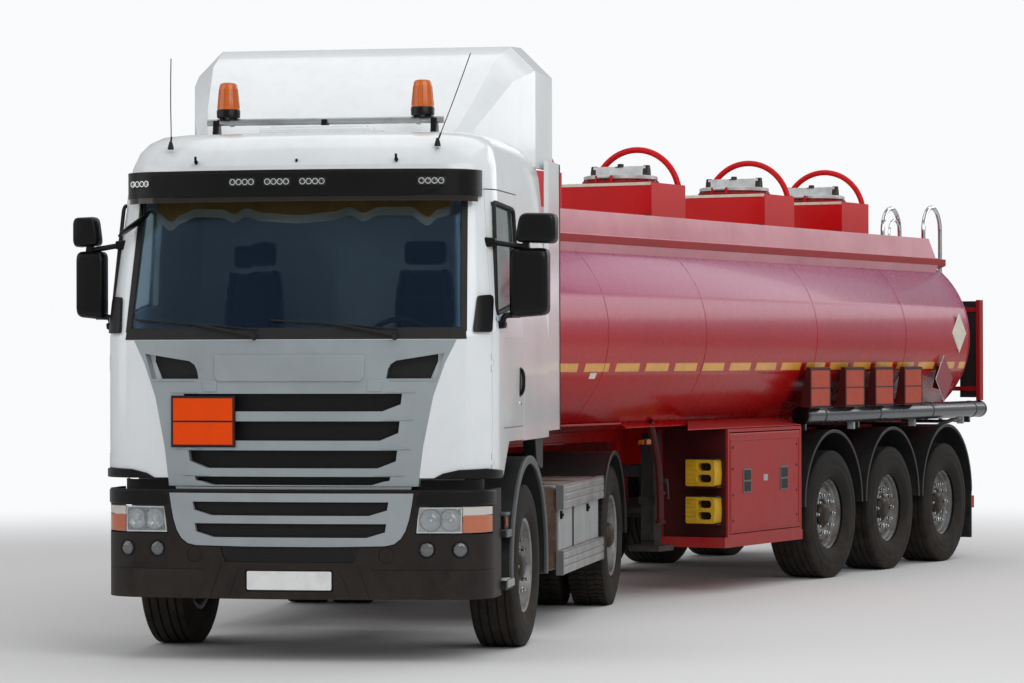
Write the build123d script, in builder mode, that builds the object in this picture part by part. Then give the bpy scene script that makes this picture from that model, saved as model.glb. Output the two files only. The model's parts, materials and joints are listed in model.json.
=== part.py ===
from build123d import *
import os

os.makedirs("parts", exist_ok=True)

# An articulated road tanker: a two-axle tractor with a sleeper cab, and a three-axle tank semi-trailer.
# Sizes are in millimetres.
# The tractor is drawn in its own frame: X to the vehicle's left, Y back from the bumper, Z from the ground.
# The trailer is drawn in a frame of its own, with Y counted back from the kingpin.

# Where the axles and the coupling are
STEER_Y = 1450
DRIVE_Y = 5150
KINGPIN_Y = DRIVE_Y - 590
FOLD_DEG = 18.3
TRAILER_AXLES_Y = (4550, 5860, 7170)
AXLE_1, AXLE_2, AXLE_3 = TRAILER_AXLES_Y

# Gaps between pieces that touch, pieces that move, and panels that show a seam
SEAT = 0.3
MOVE = 7

# Tyres: outer radius, width, bead radius, half distance between the beads
TRACTOR_TYRE_R = 514
TRACTOR_TYRE_W = 310
DRIVE_TYRE_W = 300
TRAILER_TYRE_R = 530
TRAILER_TYRE_W = 385
BEAD_R = 286
BEAD_HALF = 115
STEER_TYRE_X = 1058
DRIVE_TWIN_X = 912
TWIN_HALF = 172.5
TRAILER_TYRE_X = 1043
HUB_BORE_R = 45

# Axle beams, springs and arms, from the height of their wheels' centres
BEAM_LOW = TRACTOR_TYRE_R - 50
BEAM_TOP = TRACTOR_TYRE_R + 46
SPRING_FRONT = STEER_Y - 600
SPRING_REAR = STEER_Y + 580
STEP_REAR = STEER_Y - 660
DRIVE_ARM_LOW = TRACTOR_TYRE_R - 89
DRIVE_ARM_TOP = TRACTOR_TYRE_R - 14
TRAILER_ARM_LOW = TRAILER_TYRE_R + 40
TRAILER_ARM_TOP = TRAILER_TYRE_R + 120
TRAILER_ARCH_Z = TRAILER_TYRE_R + 80
SIDE_BOX_FRONT = 2720
SIDE_BOX_REAR = KINGPIN_Y

# Cab: height, front face and half width of each level, and what it is made of
CAB_LEVELS = (
    (1110, 60, 1215),
    (1960, 60, 1215),
    (2860, 290, 1165),
    (3010, 345, 1150),
    (3110, 410, 1122),
    (3175, 490, 1080),
    (3215, 580, 1025),
    (3230, 680, 960),
)
CAB_REAR = 2260
CAB_WALL = 60
CAB_FLOOR = 1350
CAB_FLOOR_T = 50
CORNER_IN = 215
FRONT_BOW = 90
CORNER_LEAVE = FRONT_BOW + 257.6
GRILLE_LOW = 1060
GRILLE_TOP = 1940

# Air slots in the grille hatch and the bumper, between a low and a high edge
HATCH_SLOTS = (
    # low, high, half width at the top
    (1510, 1617, 675),
    (1334, 1451, 660),
    (1168, 1276, 645),
    (1078, 1118, 605),
)
BUMPER_SLOTS = (
    (886, 968, 605),
    (755, 838, 592),
)
SLOT_CUT = 120

# Cab tilt pivot, with its pin
TILT_Y = 100
TILT_Z = 750
TILT_PIN_R = 20
TILT_ARM_X = 500

# Door hinges: the pin's place, the knuckle and pin radii, and their heights
DOOR_PIN_X = 1187
DOOR_PIN_Y = 299
DOOR_KNUCKLE_R = 10
DOOR_PIN_R = 5
DOOR_HINGES_Z = (1200, 1800)

# Frame rails
RAIL_X = 460
RAIL_LOW = 780
RAIL_TOP = 1050
RAIL_FRONT = 350
RAIL_REAR = DRIVE_Y + 800

# Bumper and lower grille
BUMPER_LOW = 385
BUMPER_TOP = 1040
BUMPER_HALF = 1195
BUMPER_WALL = 25
BUMPER_BACK = 560
LAMP_LOW = 775
LAMP_TOP = 945
LAMP_IN = 760

# Sockets for the towing pins, behind holes in the bumper
TOW_X = 590
TOW_Z = 650
TOW_R = 22
TOW_HOLE_R = 47
TOW_BACK = 420

# Coupling heights
PLATE_TOP = 1180
KINGPIN_R = 25.4

# Tank shell and what stands on it
TANK_FRONT = -1150
TANK_REAR = 7980
TANK_TOP = 2790
TANK_SHOULDER = (940, 2640)
TANK_SIDE = (1250, 1950)
TANK_HIP = (880, 1340)
TANK_BOTTOM = 1230
BOX_Y = (880, 3070, 5290, 6995)
BOX_HALF_X = 430
BOX_TOP = 3230
NECK_R = 280
BOX_HALF_Y = NECK_R + 35
NECK_BORE_R = NECK_R - 50
NECK_TOP = 3270
LID_R = NECK_R + 20
LID_T = 25
LID_PIN_Y = -(LID_R + 5)
LID_PIN_Z = 3283
LID_PIN_R = 6
GUARD_R = 390
GUARD_Z = 3140

# Trailer frame
TRAILER_RAIL_IN = 450
TRAILER_RAIL_OUT = 530
TRAILER_RAIL_LOW = 1000
FRAME_END = TANK_REAR - 80
PLATE_FRONT = TANK_FRONT + 300
COAMING_FRONT = TANK_FRONT + 250
COAMING_REAR = TANK_REAR - 430
LEGS_Y = 2050
LADDER_X = (450, 850)
LADDER_Y = TANK_REAR + 40
HOOP_R = 210
HOOP_Y = LADDER_Y - HOOP_R
HOOP_Z = 3000

# Valve cabinet under the tank, with its loading pipes
CABINET_IN = 640
CABINET_OUT = 1250
CABINET_FRONT = 2405
CABINET_BACK = 3840
CABINET_LOW = 430
CABINET_TOP = 1275
CABINET_WALL = 25
ADAPTOR_Y = (2640, 2960, 3280, 3600)
ADAPTOR_Z = 800
CABINET_DOOR_T = 25
CABINET_PIN_R = 6

pieces = []


def keep(piece, name, vehicle):
    """Note a finished piece with its name and the vehicle that it rides on."""
    pieces.append((piece.part, name, vehicle))


def body_outline(front, half, rear):
    """Plan view of a bowed front with rounded corners and straight sides."""
    bow_x = half - CORNER_IN
    front_curve = ThreePointArc((-bow_x, front + FRONT_BOW), (0, front), (bow_x, front + FRONT_BOW))
    left = TangentArc(front_curve @ 1, (half, front + CORNER_LEAVE), tangent=front_curve % 1)
    right = TangentArc(
        front_curve @ 0, (-half, front + CORNER_LEAVE), tangent=(front_curve % 0) * -1
    )
    Polyline(left @ 1, (half, rear), (-half, rear), right @ 1)


def cab_block(inset, low=None, top_drop=0):
    """The cab's outside shape as one block, or the same block drawn in by an inset."""
    with BuildPart() as block:
        for level, (height, front, half) in enumerate(CAB_LEVELS):
            z = height - top_drop if level > 1 else height
            if level == 0 and low is not None:
                z = low
            with BuildSketch(Plane.XY.offset(z)):
                with BuildLine():
                    body_outline(front + inset, half - inset, CAB_REAR - inset)
                make_face()
        loft(ruled=True)
    return block.part


def bumper_block(inset, low, high):
    """The bumper's outside shape as one upright block."""
    with BuildPart() as block:
        with BuildSketch(Plane.XY.offset(low)):
            with BuildLine():
                body_outline(inset, BUMPER_HALF - inset, BUMPER_BACK)
            make_face()
        extrude(amount=high - low)
    return block.part


def side_prism(points, x_from, x_to):
    """A prism along X over an outline of (Y, Z) points."""
    with BuildPart() as prism:
        with BuildSketch(Plane.YZ.offset(x_from)):
            with BuildLine():
                Polyline(*points, close=True)
            make_face()
        extrude(amount=x_to - x_from)
    return prism.part


def slot_outline(low, high, half):
    """An air slot's outline, with its lower corners cut off."""
    cut_z = low + 0.4 * (high - low)
    right = [(half, high), (half - 8, cut_z), (half - SLOT_CUT, low)]
    return right + [(-x, z) for x, z in reversed(right)]


def front_prism(points, y_from, y_to):
    """A prism along Y over an outline of (X, Z) points."""
    with BuildPart() as prism:
        with BuildSketch(Plane.XZ.offset(-y_from)):
            with BuildLine():
                Polyline(*points, close=True)
            make_face()
        extrude(amount=y_from - y_to)
    return prism.part


def block(x, y, z, mode=Mode.ADD):
    """A plain block between two values of X, Y and Z."""
    size = (x[1] - x[0], y[1] - y[0], z[1] - z[0])
    with Locations((x[0], y[0], z[0])):
        Box(*size, align=(Align.MIN, Align.MIN, Align.MIN), mode=mode)


def arch_band(y, z, radius, thick, start, sweep_deg, x_from, x_to):
    """A curved mudguard band about an axle, drawn in the YZ plane and extruded along X."""
    with BuildSketch(Plane.YZ.offset(x_from)) as band:
        with BuildLine():
            outer = CenterArc((y, z), radius, start, sweep_deg)
            inner = CenterArc((y, z), radius - thick, start, sweep_deg)
            Line(outer @ 0, inner @ 0)
            Line(outer @ 1, inner @ 1)
        make_face()
    extrude(band.sketch, amount=x_to - x_from)


# Cab shell

cab_outer = cab_block(0)
cab_clear = cab_block(-SEAT)
cab_inner = cab_block(CAB_WALL, low=900, top_drop=CAB_WALL)

# The grille hatch is a collar: narrow at the foot and wide under the windscreen
GRILLE_OUTLINE = (
    (-770, GRILLE_LOW),
    (770, GRILLE_LOW),
    (800, 1300),
    (860, 1600),
    (930, 1800),
    (1000, GRILLE_TOP),
    (-1000, GRILLE_TOP),
    (-930, 1800),
    (-860, 1600),
    (-800, 1300),
)
SCREEN_OUTLINE = ((-1040, 1985), (1040, 1985), (1000, 2870), (-1000, 2870))
DOOR_OUTLINE = (
    (290, 1110),
    (540, 1110),
    (740, 1310),
    (1290, 1310),
    (1290, 2860),
    (470, 2860),
    (290, 1960),
)
WINDOW_OUTLINE = ((380, 2090), (1190, 2170), (1190, 2760), (505, 2780))
SIDE_FOOT = ((540, 900), (540, 1110), (740, 1310), (2400, 1310), (2400, 900))


def grown(points, by):
    """The same outline drawn out by a distance, or drawn in if the distance is negative."""
    with BuildSketch() as outline:
        with BuildLine():
            Polyline(*points, close=True)
        make_face()
        offset(amount=by, kind=Kind.INTERSECTION)
    starts = [edge @ 0 for edge in outline.sketch.faces()[0].outer_wire().order_edges()]
    return [(start.X, start.Y) for start in starts]


grille_tool = front_prism(GRILLE_OUTLINE, -100, 260)
screen_tool = front_prism(SCREEN_OUTLINE, -100, 620)
door_tool = side_prism(DOOR_OUTLINE, 1040, 1400)
window_tool = side_prism(WINDOW_OUTLINE, 1000, 1400)
foot_tool = side_prism(SIDE_FOOT, -1400, 1400)

with BuildPart() as cab_floor:
    block((-1300, 1300), (200, CAB_REAR), (CAB_FLOOR, CAB_FLOOR + CAB_FLOOR_T))
    block((-1300, 1300), (200, 240), (CAB_FLOOR, 1950))
    block((-1300, 1300), (110, 240), (1900, 1950))
    add(cab_inner, mode=Mode.INTERSECT)

with BuildPart() as tilt_arm:
    with BuildSketch(Plane.YZ.offset(TILT_ARM_X - 15)):
        with BuildLine():
            Polyline(
                (TILT_Y - 10, TILT_Z + 38),
                (TILT_Y + 10, TILT_Z - 38),
                (430, 820),
                (520, 900),
                (560, 1360),
                (420, 1360),
                (400, 930),
                (370, 890),
                close=True,
            )
        make_face()
        with Locations((TILT_Y, TILT_Z)):
            Circle(40)
            Circle(TILT_PIN_R + SEAT, mode=Mode.SUBTRACT)
    extrude(amount=30)


def door_hinge(radius, levels):
    """Upright cylinders on the door's pin axis, each between two heights."""
    with BuildPart() as cylinders:
        for low, high in levels:
            with Locations((DOOR_PIN_X, DOOR_PIN_Y, low)):
                Cylinder(radius, high - low, align=(Align.CENTER, Align.CENTER, Align.MIN))
    return cylinders.part


# Each hinge has a middle knuckle on the cab, with the pin, between two knuckles on the door
CAB_KNUCKLES = [(z - 20, z + 20) for z in DOOR_HINGES_Z]
DOOR_KNUCKLES = [(z + a, z + b) for z in DOOR_HINGES_Z for a, b in ((-50, -20 - SEAT), (20 + SEAT, 50))]
HINGE_PINS = [(z - 50, z + 50) for z in DOOR_HINGES_Z]
knuckle_room = door_hinge(DOOR_KNUCKLE_R + MOVE, [(low - MOVE, high + MOVE) for low, high in DOOR_KNUCKLES])
middle_room = door_hinge(DOOR_KNUCKLE_R + MOVE, [(low - SEAT, high + SEAT) for low, high in CAB_KNUCKLES])
cab_hinges = door_hinge(DOOR_KNUCKLE_R, CAB_KNUCKLES)
hinge_pins = door_hinge(DOOR_PIN_R, HINGE_PINS)

with BuildPart() as cab_shell:
    add(cab_outer)
    add(cab_inner, mode=Mode.SUBTRACT)
    add(grille_tool, mode=Mode.SUBTRACT)
    add(screen_tool, mode=Mode.SUBTRACT)
    add(cab_floor.part)
    add(door_tool, mode=Mode.SUBTRACT)
    mirror(door_tool, about=Plane.YZ, mode=Mode.SUBTRACT)
    add(foot_tool, mode=Mode.SUBTRACT)
    add(tilt_arm.part)
    mirror(tilt_arm.part, about=Plane.YZ)
    add(knuckle_room, mode=Mode.SUBTRACT)
    mirror(knuckle_room, about=Plane.YZ, mode=Mode.SUBTRACT)
    add(cab_hinges)
    mirror(cab_hinges, about=Plane.YZ)
    add(hinge_pins)
    mirror(hinge_pins, about=Plane.YZ)
keep(cab_shell, "cab_shell", "tractor")

# Grille hatch under the windscreen, with four openings between wedge slats
with BuildPart() as grille_hatch:
    with BuildSketch(Plane.XY.offset(GRILLE_LOW)):
        with BuildLine():
            body_outline(60, 1215, 700)
        make_face()
    extrude(amount=GRILLE_TOP - GRILLE_LOW)
    with BuildSketch(Plane.XY.offset(GRILLE_LOW)):
        with BuildLine():
            body_outline(60 + CAB_WALL - SEAT, 1215 - CAB_WALL, 700)
        make_face()
    extrude(amount=GRILLE_TOP - GRILLE_LOW, mode=Mode.SUBTRACT)
    add(front_prism(grown(GRILLE_OUTLINE, -SEAT), -100, 260), mode=Mode.INTERSECT)
    for low, high, half in HATCH_SLOTS:
        add(front_prism(slot_outline(low, high, half), -100, 260), mode=Mode.SUBTRACT)
keep(grille_hatch, "grille_hatch", "tractor")

# Windscreen
with BuildPart() as windscreen:
    add(cab_block(8))
    add(cab_block(20, low=900), mode=Mode.SUBTRACT)
    add(front_prism(grown(SCREEN_OUTLINE, -SEAT), -100, 620), mode=Mode.INTERSECT)
keep(windscreen, "windscreen", "tractor")

# Doors with a window each, cut from the same wall as the cab
with BuildPart() as left_door:
    add(cab_outer)
    add(cab_inner, mode=Mode.SUBTRACT)
    add(side_prism(grown(DOOR_OUTLINE, -MOVE), 1040, 1400), mode=Mode.INTERSECT)
    add(window_tool, mode=Mode.SUBTRACT)
    add(middle_room, mode=Mode.SUBTRACT)
    add(door_hinge(DOOR_KNUCKLE_R, DOOR_KNUCKLES))
    add(door_hinge(DOOR_PIN_R + SEAT, HINGE_PINS), mode=Mode.SUBTRACT)
with BuildPart() as right_door:
    mirror(left_door.part, about=Plane.YZ)
keep(left_door, "left_door", "tractor")
keep(right_door, "right_door", "tractor")

with BuildPart() as left_window:
    add(cab_block(20))
    add(cab_block(30, low=900), mode=Mode.SUBTRACT)
    add(side_prism(grown(WINDOW_OUTLINE, -SEAT), 1000, 1400), mode=Mode.INTERSECT)
with BuildPart() as right_window:
    mirror(left_window.part, about=Plane.YZ)
keep(left_window, "left_window", "tractor")
keep(right_window, "right_window", "tractor")

# Mirrors on two arms from each door; the right-hand heads are turned in, so they measure narrower


def mirror_set(main_width, upper_width):
    """A main and an upper mirror head on their arms, on the left side."""
    with BuildPart() as heads:
        with BuildSketch(Plane.XZ.offset(-400)):
            with Locations((1270 + main_width / 2, 2282.5)):
                RectangleRounded(main_width, 425, 45)
            with Locations((1300 + upper_width / 2, 2615)):
                RectangleRounded(upper_width, 190, 40)
        extrude(amount=-120)
        block((1330, 1370), (440, 480), (2490, 2530))
        with BuildSketch(Plane.YZ.offset(1100)):
            with Locations((450, 2505)):
                Rectangle(44, 30)
            with Locations((440, 2085)):
                Rectangle(60, 30)
        extrude(amount=260)
        add(cab_clear, mode=Mode.SUBTRACT)
    return heads.part


with BuildPart() as left_mirror:
    add(mirror_set(240, 260))
with BuildPart() as right_mirror:
    mirror(mirror_set(180, 170), about=Plane.YZ)
keep(left_mirror, "left_mirror", "tractor")
keep(right_mirror, "right_mirror", "tractor")

# Sun visor across the head of the windscreen
with BuildPart() as sun_visor:
    with BuildSketch(Plane.XY.offset(2810)):
        with BuildLine():
            body_outline(80, 1105, 440)
        make_face()
    extrude(amount=157)
    with BuildSketch(Plane.XY.offset(2810)):
        with BuildLine():
            body_outline(110, 1075, 470)
        make_face()
    extrude(amount=127, mode=Mode.SUBTRACT)
    add(cab_clear, mode=Mode.SUBTRACT)
keep(sun_visor, "sun_visor", "tractor")

# Roof deflector: a shell that rises behind the beacons and is open at its back
DEFLECTOR_STATIONS = (
    (1150, 860, 3250),
    (1400, 950, 3450),
    (1800, 1060, 3740),
    (2200, 1140, 3880),
    (2640, 1180, 3910),
)


def deflector_block(inset):
    with BuildPart() as shell:
        for y, half, top in DEFLECTOR_STATIONS:
            wide = half - inset
            high = top - inset
            round_by = 60 + (y - 1150) * 0.1
            with BuildSketch(Plane.XZ.offset(-y)):
                with BuildLine():
                    Polyline(
                        (-wide, 3080),
                        (wide, 3080),
                        (wide, high - round_by),
                        (wide - round_by, high),
                        (round_by - wide, high),
                        (-wide, high - round_by),
                        close=True,
                    )
                make_face()
        loft(ruled=True)
    return shell.part


with BuildPart() as roof_deflector:
    add(deflector_block(0))
    add(deflector_block(25), mode=Mode.SUBTRACT)
    add(cab_clear, mode=Mode.SUBTRACT)
    for x in (1185, -1215):
        block((x, x + 30), (CAB_REAR + SEAT, 2720), (1350, 3130))
keep(roof_deflector, "air_deflectors", "tractor")

# Roof bar with two beacons
with BuildPart() as roof_beacons:
    with BuildSketch(Plane.YZ.offset(-760)):
        with Locations((1000, 3320)):
            Circle(30)
    extrude(amount=1520)
    for x in (-700, 0, 700):
        block((x - 20, x + 20), (975, 1025), (3230 + SEAT, 3320))
    for x in (-625, 625):
        with Locations((x, 1000, 3345)):
            Cone(75, 62, 225, align=(Align.CENTER, Align.CENTER, Align.MIN))
keep(roof_beacons, "roof_beacons", "tractor")

# Dashboard, steering column and wheel
with BuildPart() as dashboard:
    with BuildSketch(Plane.YZ.offset(-1060)):
        with BuildLine():
            Polyline(
                (240 + SEAT, 1500),
                (520, 1500),
                (620, 1800),
                (560, 1950),
                (300, 1990),
                (240 + SEAT, 1990),
                close=True,
            )
        make_face()
    extrude(amount=2120)
    add(cab_block(CAB_WALL + MOVE, low=900, top_drop=CAB_WALL), mode=Mode.INTERSECT)
    column = Plane(origin=(560, 560, 1780), z_dir=(0, 0.8, 0.6))
    with BuildSketch(column):
        Circle(35)
    extrude(amount=190)
    wheel_plane = column.offset(190)
    with Locations(wheel_plane.location):
        Torus(215, 17)
        Cylinder(40, 34)
    with BuildSketch(wheel_plane.offset(-10)):
        Rectangle(420, 30)
    extrude(amount=20)
keep(dashboard, "dashboard", "tractor")

# Two seats and the bunk behind them
with BuildPart() as seats:
    for x in (-560, 560):
        block((x - 150, x + 150), (1000, 1380), (CAB_FLOOR + CAB_FLOOR_T + SEAT, 1700))
        block((x - 260, x + 260), (920, 1430), (1680, 1830))
        block((x - 240, x + 240), (1330, 1470), (1780, 2420))
    block((-1080, 1080), (1560, 2190), (CAB_FLOOR + CAB_FLOOR_T + SEAT, 1850))
    block((-1080, 1080), (1540, 2190), (1850, 1960))
keep(seats, "seats_and_bunk", "tractor")

# Frame rails with cross members, tilt pivot brackets and cab rests

with BuildPart() as bumper_brackets:
    for x in (-TOW_X, TOW_X):
        block((x - 40, x + 40), (0, TOW_BACK), (TOW_Z - 50, TOW_Z + 50))
    add(bumper_block(BUMPER_WALL + SEAT, 300, 1100), mode=Mode.INTERSECT)

with BuildPart() as frame_rails:
    block((RAIL_X - 8, RAIL_X), (RAIL_FRONT, RAIL_REAR), (RAIL_LOW, RAIL_TOP))
    block((RAIL_X - 80, RAIL_X), (RAIL_FRONT, RAIL_REAR), (RAIL_LOW, RAIL_LOW + 10))
    block((RAIL_X - 80, RAIL_X), (RAIL_FRONT, RAIL_REAR), (RAIL_TOP - 10, RAIL_TOP))
    for x in (455, 525):
        block((x, x + 20), (TILT_Y - 35, TOW_BACK), (TILT_Z - 35, TILT_Z + 45))
    with BuildSketch(Plane.YZ.offset(455)):
        with Locations((TILT_Y, TILT_Z)):
            Circle(TILT_PIN_R)
    extrude(amount=90)
    block((RAIL_X - 60, RAIL_X + 60), (CAB_REAR - 180, CAB_REAR - 100), (RAIL_TOP - 10, CAB_FLOOR - SEAT))
    for y in (SPRING_FRONT, SPRING_REAR):
        block((395, 455), (y, y + 20), (BEAM_TOP, RAIL_LOW + 5))
    mirror(about=Plane.YZ)
    block((-TOW_X - 40, TOW_X + 40), (RAIL_FRONT, TOW_BACK), (TOW_Z - 10, RAIL_LOW + 5))
    for y in (3000, DRIVE_Y - 950, RAIL_REAR - 100):
        block((-RAIL_X + 2, RAIL_X - 2), (y, y + 80), (RAIL_LOW + 30, RAIL_TOP - 30))
    add(bumper_brackets.part)
    for x in (-TOW_X, TOW_X):
        with Locations(Plane(origin=(x, TOW_BACK + 20, TOW_Z), z_dir=(0, -1, 0)).location):
            Cylinder(TOW_R, 600, align=(Align.CENTER, Align.CENTER, Align.MIN), mode=Mode.SUBTRACT)
keep(frame_rails, "frame_rails", "tractor")

# Engine, gearbox and propeller shaft, as plain blocks
with BuildPart() as power_train:
    block((-350, 350), (650, 1950), (600, 1250))
    block((-220, 220), (1940, 2700), (560, 950))
    for y in (900, 1650):
        block((-RAIL_X + 8 + SEAT, RAIL_X - 8 - SEAT), (y, y + 100), (850, 930))
    with BuildSketch(Plane.XZ.offset(-2690)):
        with Locations((0, 620)):
            Circle(60)
    extrude(amount=-(DRIVE_Y - 300 - SEAT - 2690))
keep(power_train, "power_train", "tractor")

# Bumper with the lower grille and the headlamps let into it
LAMP_OUTLINE = ((LAMP_IN, LAMP_LOW), (1300, LAMP_LOW), (1300, LAMP_TOP), (LAMP_IN + 30, LAMP_TOP))

lamp_tool = front_prism(LAMP_OUTLINE, -100, 300)
bumper_outer = bumper_block(0, BUMPER_LOW, BUMPER_TOP)
bumper_inner = bumper_block(BUMPER_WALL, BUMPER_LOW - 50, BUMPER_TOP + 50)

with BuildPart() as front_bumper:
    add(bumper_outer)
    add(bumper_inner, mode=Mode.SUBTRACT)
    for low, high, half in BUMPER_SLOTS:
        add(front_prism(slot_outline(low, high, half), -100, 260), mode=Mode.SUBTRACT)
    add(lamp_tool, mode=Mode.SUBTRACT)
    mirror(lamp_tool, about=Plane.YZ, mode=Mode.SUBTRACT)
    for x in (-TOW_X, TOW_X):
        with Locations(Plane(origin=(x, 200, TOW_Z), z_dir=(0, -1, 0)).location):
            Cylinder(TOW_HOLE_R, 300, align=(Align.CENTER, Align.CENTER, Align.MIN), mode=Mode.SUBTRACT)
keep(front_bumper, "front_bumper", "tractor")

with BuildPart() as headlamps:
    add(bumper_outer)
    add(bumper_inner, mode=Mode.SUBTRACT)
    add(front_prism(grown(LAMP_OUTLINE, -SEAT), -100, 300 - SEAT), mode=Mode.INTERSECT)
    mirror(about=Plane.YZ)
keep(headlamps, "headlamps", "tractor")

# Front mudguards with the steps ahead of the wheel
with BuildPart() as front_mudguards:
    arch_band(STEER_Y, TRACTOR_TYRE_R, 690, 40, -8, 196, 880, 1225)
    block((900, 1225), (BUMPER_BACK + SEAT, STEP_REAR), (415, 470))
    block((900, 1225), (BUMPER_BACK + SEAT, STEP_REAR), (735, 775))
    block((900, 930), (BUMPER_BACK + SEAT, STEP_REAR), (415, 1050))
    block((900, 1225), (STEP_REAR - 30, STEP_REAR), (415, 600))
    for y in (STEP_REAR - 90, STEER_Y + 568):
        block((RAIL_X + SEAT, 905), (y, y + 30), (820, 860))
    mirror(about=Plane.YZ)
keep(front_mudguards, "front_mudguards", "tractor")

# Fuel tank on one side and battery box on the other, with ribbed guard rails
with BuildPart() as side_tanks:
    with BuildSketch(Plane.XZ.offset(-SIDE_BOX_FRONT)):
        with Locations((925, 685)):
            RectangleRounded(550, 570, 60)
    extrude(amount=SIDE_BOX_FRONT - SIDE_BOX_REAR)
    for y in (SIDE_BOX_FRONT + 290, SIDE_BOX_REAR - 350):
        block((RAIL_X + SEAT, 660), (y, y + 60), (820, 900))
    for low in (374, 816):
        block((1195, 1235), (SIDE_BOX_FRONT, SIDE_BOX_REAR), (low, low + 156))
    mirror(about=Plane.YZ)
keep(side_tanks, "side_tanks", "tractor")

# Mudguards over the drive wheels
with BuildPart() as drive_mudguards:
    arch_band(DRIVE_Y, TRACTOR_TYRE_R, 625, 20, -1, 152, 585, 1240)
    block((420, 620), (DRIVE_Y - 40, DRIVE_Y + 40), (RAIL_TOP + SEAT, 1125))
    mirror(about=Plane.YZ)
keep(drive_mudguards, "drive_mudguards", "tractor")

# Fifth wheel: a plate with a throat for the kingpin, on two side brackets
with BuildPart() as fifth_wheel:
    with BuildSketch(Plane.XY.offset(1130)):
        with Locations((0, KINGPIN_Y)):
            Circle(470)
            Circle(KINGPIN_R + 0.5, mode=Mode.SUBTRACT)
        with BuildLine():
            Polyline(
                (-KINGPIN_R - 0.5, KINGPIN_Y),
                (KINGPIN_R + 0.5, KINGPIN_Y),
                (170, KINGPIN_Y + 500),
                (-170, KINGPIN_Y + 500),
                close=True,
            )
        make_face(mode=Mode.SUBTRACT)
    extrude(amount=PLATE_TOP - 1130)
    for x in (-440, 400):
        block((x, x + 40), (KINGPIN_Y - 200, KINGPIN_Y + 200), (RAIL_TOP + SEAT, 1140))
keep(fifth_wheel, "fifth_wheel", "tractor")

# Axles of the tractor

PIN_X = 830
EYE_HALF = 50

with BuildPart() as front_axle:
    block((-790, 790), (STEER_Y - 45, STEER_Y + 45), (BEAM_LOW, BEAM_TOP))
    for x in (-PIN_X, PIN_X):
        with Locations((x, STEER_Y, TRACTOR_TYRE_R)):
            Cylinder(55, 2 * EYE_HALF)
    for x in (395, -455):
        block((x, x + 60), (SPRING_FRONT + 20 + SEAT, SPRING_REAR - SEAT), (BEAM_TOP - 5, BEAM_TOP + 60))
    for x in (-PIN_X, PIN_X):
        with Locations((x, STEER_Y, TRACTOR_TYRE_R)):
            Cylinder(30 + SEAT, 4 * EYE_HALF, mode=Mode.SUBTRACT)
keep(front_axle, "front_axle", "tractor")

with BuildPart() as drive_axle:
    with BuildSketch(Plane.YZ.offset(-590)):
        with Locations((DRIVE_Y, TRACTOR_TYRE_R)):
            Circle(75)
    extrude(amount=1180)
    with BuildSketch(Plane.YZ.offset(-990)):
        with Locations((DRIVE_Y, TRACTOR_TYRE_R)):
            Circle(HUB_BORE_R)
    extrude(amount=1980)
    with BuildSketch(Plane.YZ.offset(-180)):
        with Locations((DRIVE_Y, TRACTOR_TYRE_R)):
            Circle(200)
    extrude(amount=360)
    block((-90, 90), (DRIVE_Y - 300, DRIVE_Y - 100), (TRACTOR_TYRE_R + 16, TRACTOR_TYRE_R + 186))
    for x in (435, -495):
        block((x, x + 60), (DRIVE_Y - 500, DRIVE_Y + 500), (DRIVE_ARM_LOW, DRIVE_ARM_TOP))
        for y in (DRIVE_Y - 390, DRIVE_Y + 390):
            with Locations((x + 30, y, DRIVE_ARM_TOP)):
                height = RAIL_LOW - SEAT - DRIVE_ARM_TOP
                Cylinder(95, height, align=(Align.CENTER, Align.CENTER, Align.MIN))
keep(drive_axle, "drive_axle", "tractor")

# Steering knuckles: a pin through the axle's eye, two yokes, a plate and the wheel's spindle
with BuildPart() as left_knuckle:
    with Locations((PIN_X, STEER_Y, TRACTOR_TYRE_R)):
        Cylinder(30, 190)
    for z in (TRACTOR_TYRE_R + 60, TRACTOR_TYRE_R - 95):
        block((PIN_X - 45, 913), (STEER_Y - 50, STEER_Y + 50), (z, z + 35))
    block((893, 913), (STEER_Y - 90, STEER_Y + 90), (TRACTOR_TYRE_R - 95, TRACTOR_TYRE_R + 95))
    with BuildSketch(Plane.YZ.offset(900)):
        with Locations((STEER_Y, TRACTOR_TYRE_R)):
            Circle(HUB_BORE_R)
    extrude(amount=230)
with BuildPart() as right_knuckle:
    mirror(left_knuckle.part, about=Plane.YZ)
keep(left_knuckle, "left_knuckle", "tractor")
keep(right_knuckle, "right_knuckle", "tractor")


# Wheels

def tyre_profile(centre, radius, width):
    """Half section of a tyre, along X and out from the axle."""
    half = width / 2
    Polyline(
        (centre - BEAD_HALF, BEAD_R),
        (centre - BEAD_HALF, BEAD_R + 14),
        (centre - half, BEAD_R + 95),
        (centre - half, radius - 60),
        (centre - half + 35, radius),
        (centre + half - 35, radius),
        (centre + half, radius - 60),
        (centre + half, BEAD_R + 95),
        (centre + BEAD_HALF, BEAD_R + 14),
        (centre + BEAD_HALF, BEAD_R),
        close=True,
    )


def rim_profile(half, disc, hub_out):
    """Half section of a rim with its disc, hub and brake drum, outboard towards +X."""
    Polyline(
        (-half - 13, BEAD_R - 16),
        (-half - 13, BEAD_R + 12),
        (-half - SEAT, BEAD_R + 12),
        (-half - SEAT, BEAD_R - SEAT),
        (half + SEAT, BEAD_R - SEAT),
        (half + SEAT, BEAD_R + 12),
        (half + 13, BEAD_R + 12),
        (half + 13, BEAD_R - 16),
        (disc + 16, BEAD_R - 24),
        (disc + 16, 120),
        (hub_out, 110),
        (hub_out, HUB_BORE_R + SEAT),
        (-half - 25, HUB_BORE_R + SEAT),
        (-half - 25, 205),
        (disc - 40, 205),
        (disc, 150),
        (disc, BEAD_R - 16),
        close=True,
    )


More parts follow.
